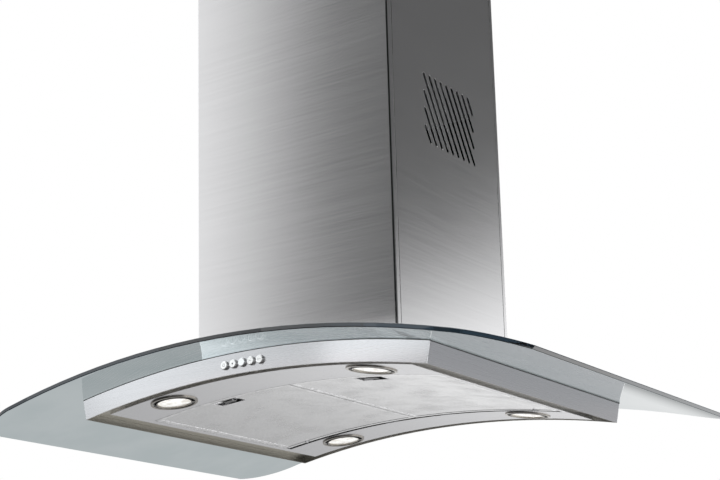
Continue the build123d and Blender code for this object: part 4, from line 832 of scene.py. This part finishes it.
@dataclass
class GreaseFilter(Assembly):
    """One grease filter, with the expanded-metal sheet that lies under its folded mesh."""

    side: str
    arch_radius: float = 1488.0 * MM
    arch_top: float = -700.0 * MM
    depth: float = 29.90 * MM
    inner_s: float = 8.8 * MM
    outer_s: float = 247.2 * MM
    half_length: float = 158.8 * MM
    pitch_s: float = 3.6 * MM
    pitch_y: float = 6.4 * MM
    strand: float = 1.2 * MM
    thick: float = 0.16 * MM
    latch_middle: float = 128.0 * MM
    latch_half_s: float = 23.9 * MM
    latch_y: Pair = (-160.0 * MM, -130.5 * MM)

    def opened(self, name: str) -> RepeatTree:
        """Starts the sheet's tree, with its sizes as named inputs.

        Args:
            name: of the sheet.

        Returns:
            The tree.
        """
        sign = 1.0 if self.side == "right" else -1.0
        half_s, half_y = self.pitch_s / 2, self.pitch_y / 2
        diamond = hidden_pattern(name + "_diamond", ring_of_four(half_s, half_y, self.strand, self.thick))
        slope = math.hypot(half_s, half_y)
        columns = int((self.outer_s - self.inner_s - self.strand * slope / half_y) / self.pitch_s)
        rows = int((2 * self.half_length - self.strand * slope / half_s) / self.pitch_y)
        tree = RepeatTree(name)
        for key, value in (("Columns", columns), ("Rows", rows), ("Width", (columns - 1) * self.pitch_s),
                           ("Length", (rows - 1) * self.pitch_y),
                           ("Middle", sign * (self.inner_s + self.outer_s) / 2), ("Diamond", diamond),
                           ("Radius", self.arch_radius - self.depth), ("Arch", self.arch_radius),
                           ("Top", self.arch_top - self.arch_radius), ("Latch half", self.latch_half_s),
                           ("Latch front", self.latch_y[0]), ("Latch rear", self.latch_y[1]),
                           ("Latch middle", sign * self.latch_middle),
                           ("Finish", self.finishes.all["filter_weave"])):
            tree.take(key, value)
        return tree

    @staticmethod
    def flat_sheet(tree: RepeatTree) -> Socket:
        """Lays the diamonds on a flat grid, with a gap for the latch.

        Args:
            tree: the sheet's tree.

        Returns:
            The flat sheet's socket.
        """
        grid = tree.shape("MeshGrid", {
            "Size X": tree["Width"], "Size Y": tree["Length"],
            "Vertices X": tree["Columns"], "Vertices Y": tree["Rows"]})
        shift = tree.vector(x=tree["Middle"])
        moved = tree.shape("Transform", {"Geometry": grid, "Translation": shift})
        x, y, _ = tree.parts(tree.shape("InputPosition"))
        away = tree.math("ABSOLUTE", tree.math("SUBTRACT", x, tree["Latch middle"]))
        near = tree.math("LESS_THAN", away, tree["Latch half"])
        behind = tree.math("GREATER_THAN", y, tree["Latch front"])
        before = tree.math("LESS_THAN", y, tree["Latch rear"])
        gap = tree.times(tree.times(near, behind), before)
        kept = tree.shape("DeleteGeometry", {"Geometry": moved, "Selection": gap})
        pattern = tree.add("GeometryNodeObjectInfo", {"Object": tree["Diamond"]}).outputs["Geometry"]
        copies = tree.shape("InstanceOnPoints", {"Points": kept, "Instance": pattern})
        return tree.shape("RealizeInstances", {"Geometry": copies})

    @staticmethod
    def bent(tree: RepeatTree, flat: Socket) -> Socket:
        """Bends a flat sheet to the arch.

        Args:
            tree: the sheet's tree.
            flat: the flat sheet.

        Returns:
            The bent sheet's socket.
        """
        across, along, rise = tree.parts(tree.shape("InputPosition"))
        angle = tree.math("DIVIDE", across, tree["Arch"])
        reach = tree.math("ADD", tree["Radius"], rise)
        x = tree.times(reach, tree.math("SINE", angle))
        z = tree.math("ADD", tree.times(reach, tree.math("COSINE", angle)), tree["Top"])
        place = tree.vector(x=x, y=along, z=z)
        return tree.shape("SetPosition", {"Geometry": flat, "Position": place})

    def build(self) -> bpy.types.Object:
        """Builds the expanded-metal sheet, bent to the arch, with a gap for the latch.

        Returns:
            The sheet.
        """
        name = f"filter_{self.side}_weave"
        tree = self.opened(name)
        tree.finish(self.bent(tree, self.flat_sheet(tree)), tree["Finish"])
        piece = tree.mesh(name)
        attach(piece, f"filter_{self.side}")
        LOG.info("%s: %d faces", name, len(piece.data.polygons))
        return piece

    def dress(self) -> None:
        """Gives each piece its finish."""
        stem = f"filter_{self.side}_"
        self.finishes.on(self.nodes, "filter_backing", stem + "mesh")
        self.finishes.on(self.nodes, "filter_frame_metal", stem + "frame", stem + "latch_housing")
        self.finishes.on(self.nodes, "latch_metal", stem + "latch")


class Lamps(Assembly):
    """Four lamps: rings, lenses, housings and bulbs."""

    wears = {
        "lamp_chrome": tuple(f"lamp_{place}_ring" for place in LAMP_PLACES),
        "lamp_lens": tuple(f"lamp_{place}_lens" for place in LAMP_PLACES),
        "housing_lacquer": ("lamp_housings",),
        "bulb_glass": ("lamp_bulbs",),
    }


class ButtonMark(Enum):
    """Plain mark on a button's face: how many dots, and whether they stand in a ring.

    speed_1 has stop's value, so it is a second name for stop and a loop over the marks passes it by:
    button_speed_1 gets neither a mark nor the buttons' finish, and keeps the frame's material.
    """

    light = (6, True)
    stop = (1, False)
    speed_1 = (1, False)
    speed_2 = (2, False)
    speed_3 = (3, False)


@dataclass
class ControlPanel(Assembly):
    """Push buttons with their marks, the switch block and the control board."""

    wears = {
        "button_chrome": tuple(f"button_{button.name}" for button in ButtonMark),
        "black_plastic": ("switch_block",),
        "circuit_board": ("control_board",),
    }
    dot: float = 0.55 * MM
    spread: float = 1.9 * MM
    proud: float = 0.06 * MM
    stop_share: float = 2.6
    stop_sides: int = 4
    dot_sides: int = 12

    def row(self, tree: RepeatTree, button: ButtonMark) -> Socket:
        """Points for the dots of one button, in a ring or side by side.

        Args:
            tree: the mark's tree.
            button: which button.

        Returns:
            The points' socket.
        """
        count, ringed = button.value
        if ringed:
            return tree.shape("MeshCircle", {"Vertices": tree["Count"], "Radius": tree["Spread"]})
        span = tree.times(tree["Spread"], (count - 1) / 2.0)
        return tree.shape("MeshLine", {
            "Count": tree["Count"], "Start Location": tree.vector(x=tree.times(span, -1.0)),
            "Offset": tree.vector(x=tree["Spread"])})

    def mark(self, button: ButtonMark) -> bpy.types.Object:
        """Builds the dots on one button.

        Args:
            button: which button.

        Returns:
            The piece, which rides on the button.
        """
        low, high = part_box(f"button_{button.name}")
        centre = Vector(((low.x + high.x) / 2, low.y, (low.z + high.z) / 2))
        tree = RepeatTree(f"button_{button.name}_mark")
        stop = button is ButtonMark.stop
        for key, value in (("Count", button.value[0]), ("Spread", self.spread),
                           ("Dot", self.stop_share * self.dot if stop else self.dot), ("Proud", self.proud),
                           ("X", centre.x), ("Y", centre.y), ("Z", centre.z),
                           ("Finish", self.finishes.all["mark_ink"])):
            tree.take(key, value)
        row = self.row(tree, button)
        dot = tree.shape("MeshCylinder", {
            "Vertices": self.stop_sides if stop else self.dot_sides, "Radius": tree["Dot"],
            "Depth": tree.times(tree["Proud"], 2.0)})
        dots = tree.shape("InstanceOnPoints", {"Points": row, "Instance": dot})
        shift = tree.vector(**{axis: tree[axis.upper()] for axis in "xyz"})
        upright = tree.shape("Transform", {
            "Geometry": dots, "Translation": shift, "Rotation": (math.pi / 2, 0.0, 0.0)})
        tree.finish(upright, tree["Finish"])
        piece = tree.mesh(f"button_{button.name}_mark")
        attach(piece, f"button_{button.name}")
        return piece

    def dress(self) -> None:
        """Gives the pieces their finishes, and the buttons that ButtonMark lists their marks."""
        super().dress()
        for button in ButtonMark:
            self.mark(button)


class Chimney(Assembly):
    """Lower and upper chimney, and the telescopic frame inside."""

    wears = {
        "steel_covers": ("chimney_front_cover", "chimney_rear_cover", "chimney_left_cover",
                         "chimney_right_cover"),
        "steel_upper_covers": ("upper_chimney_front", "upper_chimney_rear"),
        "galvanised_sheet": ("ceiling_frame", "upper_uprights", "lower_uprights"),
        "screw_zinc": ("clamp_screws", "frame_screws"),
    }


class Blower(Assembly):
    """Motor box, scroll, fan wheel, motor, outlet collar with its flaps, and the electrics."""

    wears = {
        "galvanised_sheet": ("blower_base_plate", "motor_box", "scroll_housing"),
        "grey_plastic": ("impeller", "damper_flap_front", "damper_flap_rear", "terminal_box"),
        "black_plastic": ("outlet_collar",),
        "screw_zinc": ("damper_pin", "filter_hinge_pins"),
        "motor_enamel": ("motor",),
        "capacitor_shell": ("capacitor",),
    }


# ---- studio ----
@dataclass(frozen=True)
class SoftLamp:
    """One soft lamp: a rectangle of light."""

    name: str
    place: Triple
    aim: Triple
    size: Pair
    power: float
    mirrored: bool = False

    def make(self) -> bpy.types.Object:
        """Builds the lamp, which the camera doesn't see.

        Returns:
            The lamp.
        """
        data = bpy.data.lights.new(self.name, "AREA")
        data.shape = "RECTANGLE"
        data.size, data.size_y = self.size
        data.energy = self.power
        lamp = placed(self.name, data)
        lamp.location = self.place
        lamp.rotation_euler = (Vector(self.aim) - Vector(self.place)).to_track_quat("-Z", "Y").to_euler()
        lamp.visible_camera = False
        lamp.visible_transmission = False
        lamp.visible_glossy = self.mirrored
        return lamp


@dataclass(frozen=True)
class Floor:
    """Pale floor that keeps the object's shadow. Metal mirrors it brighter far off, to the rear and right.

    Each span gives where a step starts and ends, in metres, and its level before and after.
    """

    height: float = -2.4
    radius: float = 40.0
    segments: int = 96
    tone: Triple = (0.88, 0.88, 0.88)
    rough: float = 0.9
    gloss: float = 0.1
    seen_share: float = 0.7
    outward: Span = (-6.0, 18.0, 0.20, 0.95)
    rearward: Span = (-2.0, 1.0, 0.15, 1.0)
    rightward: Span = (0.3, 2.5, 1.0, 2.6)

    def mirrored_level(self, paint: Paint) -> Socket:
        """How bright metal mirrors each spot of the floor.

        Args:
            paint: the floor's material.

        Returns:
            The level's socket.
        """
        away = paint.add("VectorMath", {0: paint.place}, operation="LENGTH").outputs["Value"]
        x, y, _ = paint.parts(paint.place)
        level = paint.times(paint.ramp(away, *self.outward), paint.ramp(y, *self.rearward))
        return paint.times(level, paint.ramp(x, *self.rightward))

    def material(self) -> bpy.types.Material:
        """Builds the material: matt for light and shadow, and a pale glow where it is seen or mirrored.

        Returns:
            The material.
        """
        paint = Paint("studio_floor")
        paint.set(Base_Color=self.tone, Roughness=self.rough, Specular_IOR_Level=self.gloss)
        path = paint.add("LightPath")
        mirrored = path.outputs["Is Glossy Ray"]
        seen = paint.math("MAXIMUM", path.outputs["Is Camera Ray"], path.outputs["Is Transmission Ray"])
        level = paint.math("ADD", seen, paint.times(mirrored, self.mirrored_level(paint)))
        share = paint.math("ADD", paint.times(seen, self.seen_share), mirrored, clamp=True)
        paint.cover(share, paint.add("Emission", {"Strength": level}))
        return paint.material

    def build(self) -> None:
        """Lays the floor."""
        shape = bmesh.new()
        bmesh.ops.create_circle(shape, cap_ends=True, segments=self.segments, radius=self.radius)
        bmesh.ops.translate(shape, verts=shape.verts, vec=(0.0, 0.0, self.height))
        mesh = bpy.data.meshes.new("studio_floor")
        shape.to_mesh(mesh)
        shape.free()
        mesh.materials.append(self.material())
        floor = placed("studio_floor", mesh)


@dataclass(frozen=True)
class Surroundings:
    """Walls of light round the hood: a soft box at the left, a glow at the rear right and dim walls.

    A direction's turn is its angle from the front, to the left, in degrees, and its height is its Z.
    Each span gives where a step starts and ends, and its level before and after. The camera sees plain
    white. Through the glass a grey backdrop shows, with a darker card in it.
    """

    box_start: Span = (34.6, 40.4, 0.0, 1.0)
    box_end: Span = (130.0, 165.0, 1.0, 0.0)
    box_level: float = 1.08
    glow_start: Span = (-75.0, -100.0, 0.0, 1.0)
    glow_fade: Span = (0.195, 0.325, 1.3, 0.0)
    glow_turn: float = 151.6
    glow_slope: float = 0.33
    overhead: Span = (0.55, 0.9, 0.0, 0.8)
    dim_left: Span = (20.0, 30.0, 0.01, 0.13)
    dim_right: Span = (-80.0, -65.0, 0.13, 0.01)
    horizon: Span = (0.02, 0.10, 0.95, 0.0)
    horizon_rear: Span = (80.0, 110.0, 0.0, 1.0)
    backdrop: float = 0.55
    card_start: Span = (135.7, 136.3, 0.0, 1.0)
    card_end: Span = (143.0, 145.0, 1.0, 0.0)
    card_foot: Span = (0.182, 0.192, 0.0, 1.0)
    card_top: Span = (0.30, 0.35, 1.0, 0.0)

    @staticmethod
    def turned(room: Nodes, turn: Socket, span: Span) -> Socket:
        """Smooth step over a span of turn.

        Args:
            room: the world's nodes.
            turn: a direction's turn, in radians.
            span: the step, with its limits in degrees.

        Returns:
            The level's socket.
        """
        low, high, before, after = span
        return room.ramp(turn, math.radians(low), math.radians(high), before, after)

    def walls(self, room: Nodes, turn: Socket, height: Socket) -> Socket:
        """Light that falls on the hood and that metal mirrors.

        Args:
            room: the world's nodes.
            turn: a direction's turn, in radians.
            height: its Z.

        Returns:
            The level's socket.
        """
        box = room.times(self.turned(room, turn, self.box_start),
                         self.turned(room, turn, self.box_end))
        past = room.math("ADD", turn, math.radians(self.glow_turn))
        slant = room.math("ADD", height, room.times(past, self.glow_slope))
        glow = room.times(self.turned(room, turn, self.glow_start),
                          room.ramp(slant, *self.glow_fade))
        dim = room.math("MAXIMUM", self.turned(room, turn, self.dim_left),
                        self.turned(room, turn, self.dim_right))
        upper = room.math("ADD", room.math("ADD", room.times(box, self.box_level), glow),
                          room.math("ADD", room.ramp(height, *self.overhead), dim))
        rear = self.turned(room, room.math("ABSOLUTE", turn), self.horizon_rear)
        return room.math("MAXIMUM", upper,
                         room.times(room.ramp(height, *self.horizon), rear))

    def behind_glass(self, room: Nodes, turn: Socket, height: Socket) -> Socket:
        """Backdrop that shows through the glass: grey, and black on the card.

        Args:
            room: the world's nodes.
            turn: a direction's turn, in radians.
            height: its Z.

        Returns:
            The level's socket.
        """
        across = room.times(self.turned(room, turn, self.card_start),
                            self.turned(room, turn, self.card_end))
        upright = room.times(room.ramp(height, *self.card_foot),
                             room.ramp(height, *self.card_top))
        card = room.times(across, upright)
        return room.math("SUBTRACT", self.backdrop, room.times(card, self.backdrop))

    def build(self) -> None:
        """Builds the world."""
        world = bpy.data.worlds.new("studio")
        world.use_nodes = True
        bpy.context.scene.world = world
        room = Nodes(world.node_tree)
        x, y, height = room.parts(room.add("TexCoord").outputs["Generated"])
        turn = room.math("ARCTAN2", room.times(x, -1.0), room.times(y, -1.0))
        path = room.add("LightPath")
        plain = room.math("MAXIMUM", path.outputs["Is Camera Ray"], self.behind_glass(room, turn, height))
        studio, behind = (room.add("Background", {"Color": opaque(WHITE), "Strength": level}).outputs[0]
                          for level in (self.walls(room, turn, height), plain))
        seen = room.math("ADD", path.outputs["Is Camera Ray"], path.outputs["Is Transmission Ray"],
                         clamp=True)
        room.add("OutputWorld", {"Surface": room.blend(seen, studio, behind)})


@dataclass(frozen=True)
class PhotoCamera:
    """Camera that stands where the photograph was taken from. Its angles are in degrees."""

    lens: float = 80.15
    sensor: float = 36.0
    shift: Pair = (0.12, 0.12)
    clip: Pair = (0.05, 200.0)
    stand: Triple = (1.312, -1.942, -1.191)
    yaw: float = 36.99
    pitch: float = 13.87
    roll: float = -0.77

    def build(self) -> None:
        """Sets the camera up."""
        yaw, pitch, roll = (math.radians(angle) for angle in (self.yaw, self.pitch, self.roll))
        level = Vector((-math.sin(yaw), math.cos(yaw), 0.0))
        side = Vector((math.cos(yaw), math.sin(yaw), 0.0))
        ahead = level * math.cos(pitch) + Vector((0.0, 0.0, math.sin(pitch)))
        top = Vector((0.0, 0.0, math.cos(pitch))) - level * math.sin(pitch)
        right = side * math.cos(roll) + top * math.sin(roll)
        up = top * math.cos(roll) - side * math.sin(roll)
        data = bpy.data.cameras.new("camera")
        data.sensor_width = self.sensor
        data.lens = self.lens
        data.shift_x, data.shift_y = self.shift
        data.clip_start, data.clip_end = self.clip
        camera = placed("camera", data)
        turn = Matrix((right, up, -ahead)).transposed().to_4x4()
        camera.matrix_world = Matrix.Translation(self.stand) @ turn
        bpy.context.scene.camera = camera


@dataclass(frozen=True)
class Studio:
    """Camera, floor, surroundings and soft lamps. The mirrored lamps light the low front walls."""

    lamps: tuple[SoftLamp, ...] = (
        SoftLamp("key_left", (-3.2, -2.6, 0.9), (0.0, 0.0, -0.5), (2.2, 2.2), 90.0),
        SoftLamp("fill_right", (2.6, -2.2, -0.6), (0.0, 0.0, -0.5), (2.0, 2.0), 25.0),
        SoftLamp("low_front", (-0.16, -0.50, -0.655), (-0.16, 0.0, -0.655), (0.66, 0.08), 0.079, True),
        SoftLamp("low_right", (0.18, -0.495, -0.655), (0.18, 0.0, -0.655), (0.40, 0.08), 0.088, True),
        SoftLamp("glass_front", (-0.11, -0.40, -0.604), (-0.11, 0.0, -0.604), (0.30, 0.024), 0.012, True))

    def build(self) -> None:
        """Builds the whole studio."""
        PhotoCamera().build()
        Floor().build()
        Surroundings().build()
        for lamp in self.lamps:
            lamp.make()
        bpy.context.scene.view_settings.view_transform = "Standard"


def main() -> None:
    """Loads the frame, dresses every sub-assembly and sets up the studio."""
    logging.basicConfig(level=logging.INFO, format="%(name)s: %(message)s")
    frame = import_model()
    nodes = frame["nodes"]
    finishes = Finishes()
    Studio().build()
    assemblies = [GlassCanopy(nodes, finishes), HoodBody(nodes, finishes), Lamps(nodes, finishes),
                  ControlPanel(nodes, finishes), Chimney(nodes, finishes), Blower(nodes, finishes)]
    for side in ("left", "right"):
        grease_filter = GreaseFilter(nodes, finishes, side)
        grease_filter.build()
        assemblies.append(grease_filter)
    for assembly in assemblies:
        assembly.dress()
        LOG.info("dressed %s", type(assembly).__name__)


if __name__ == "__main__":
    main()
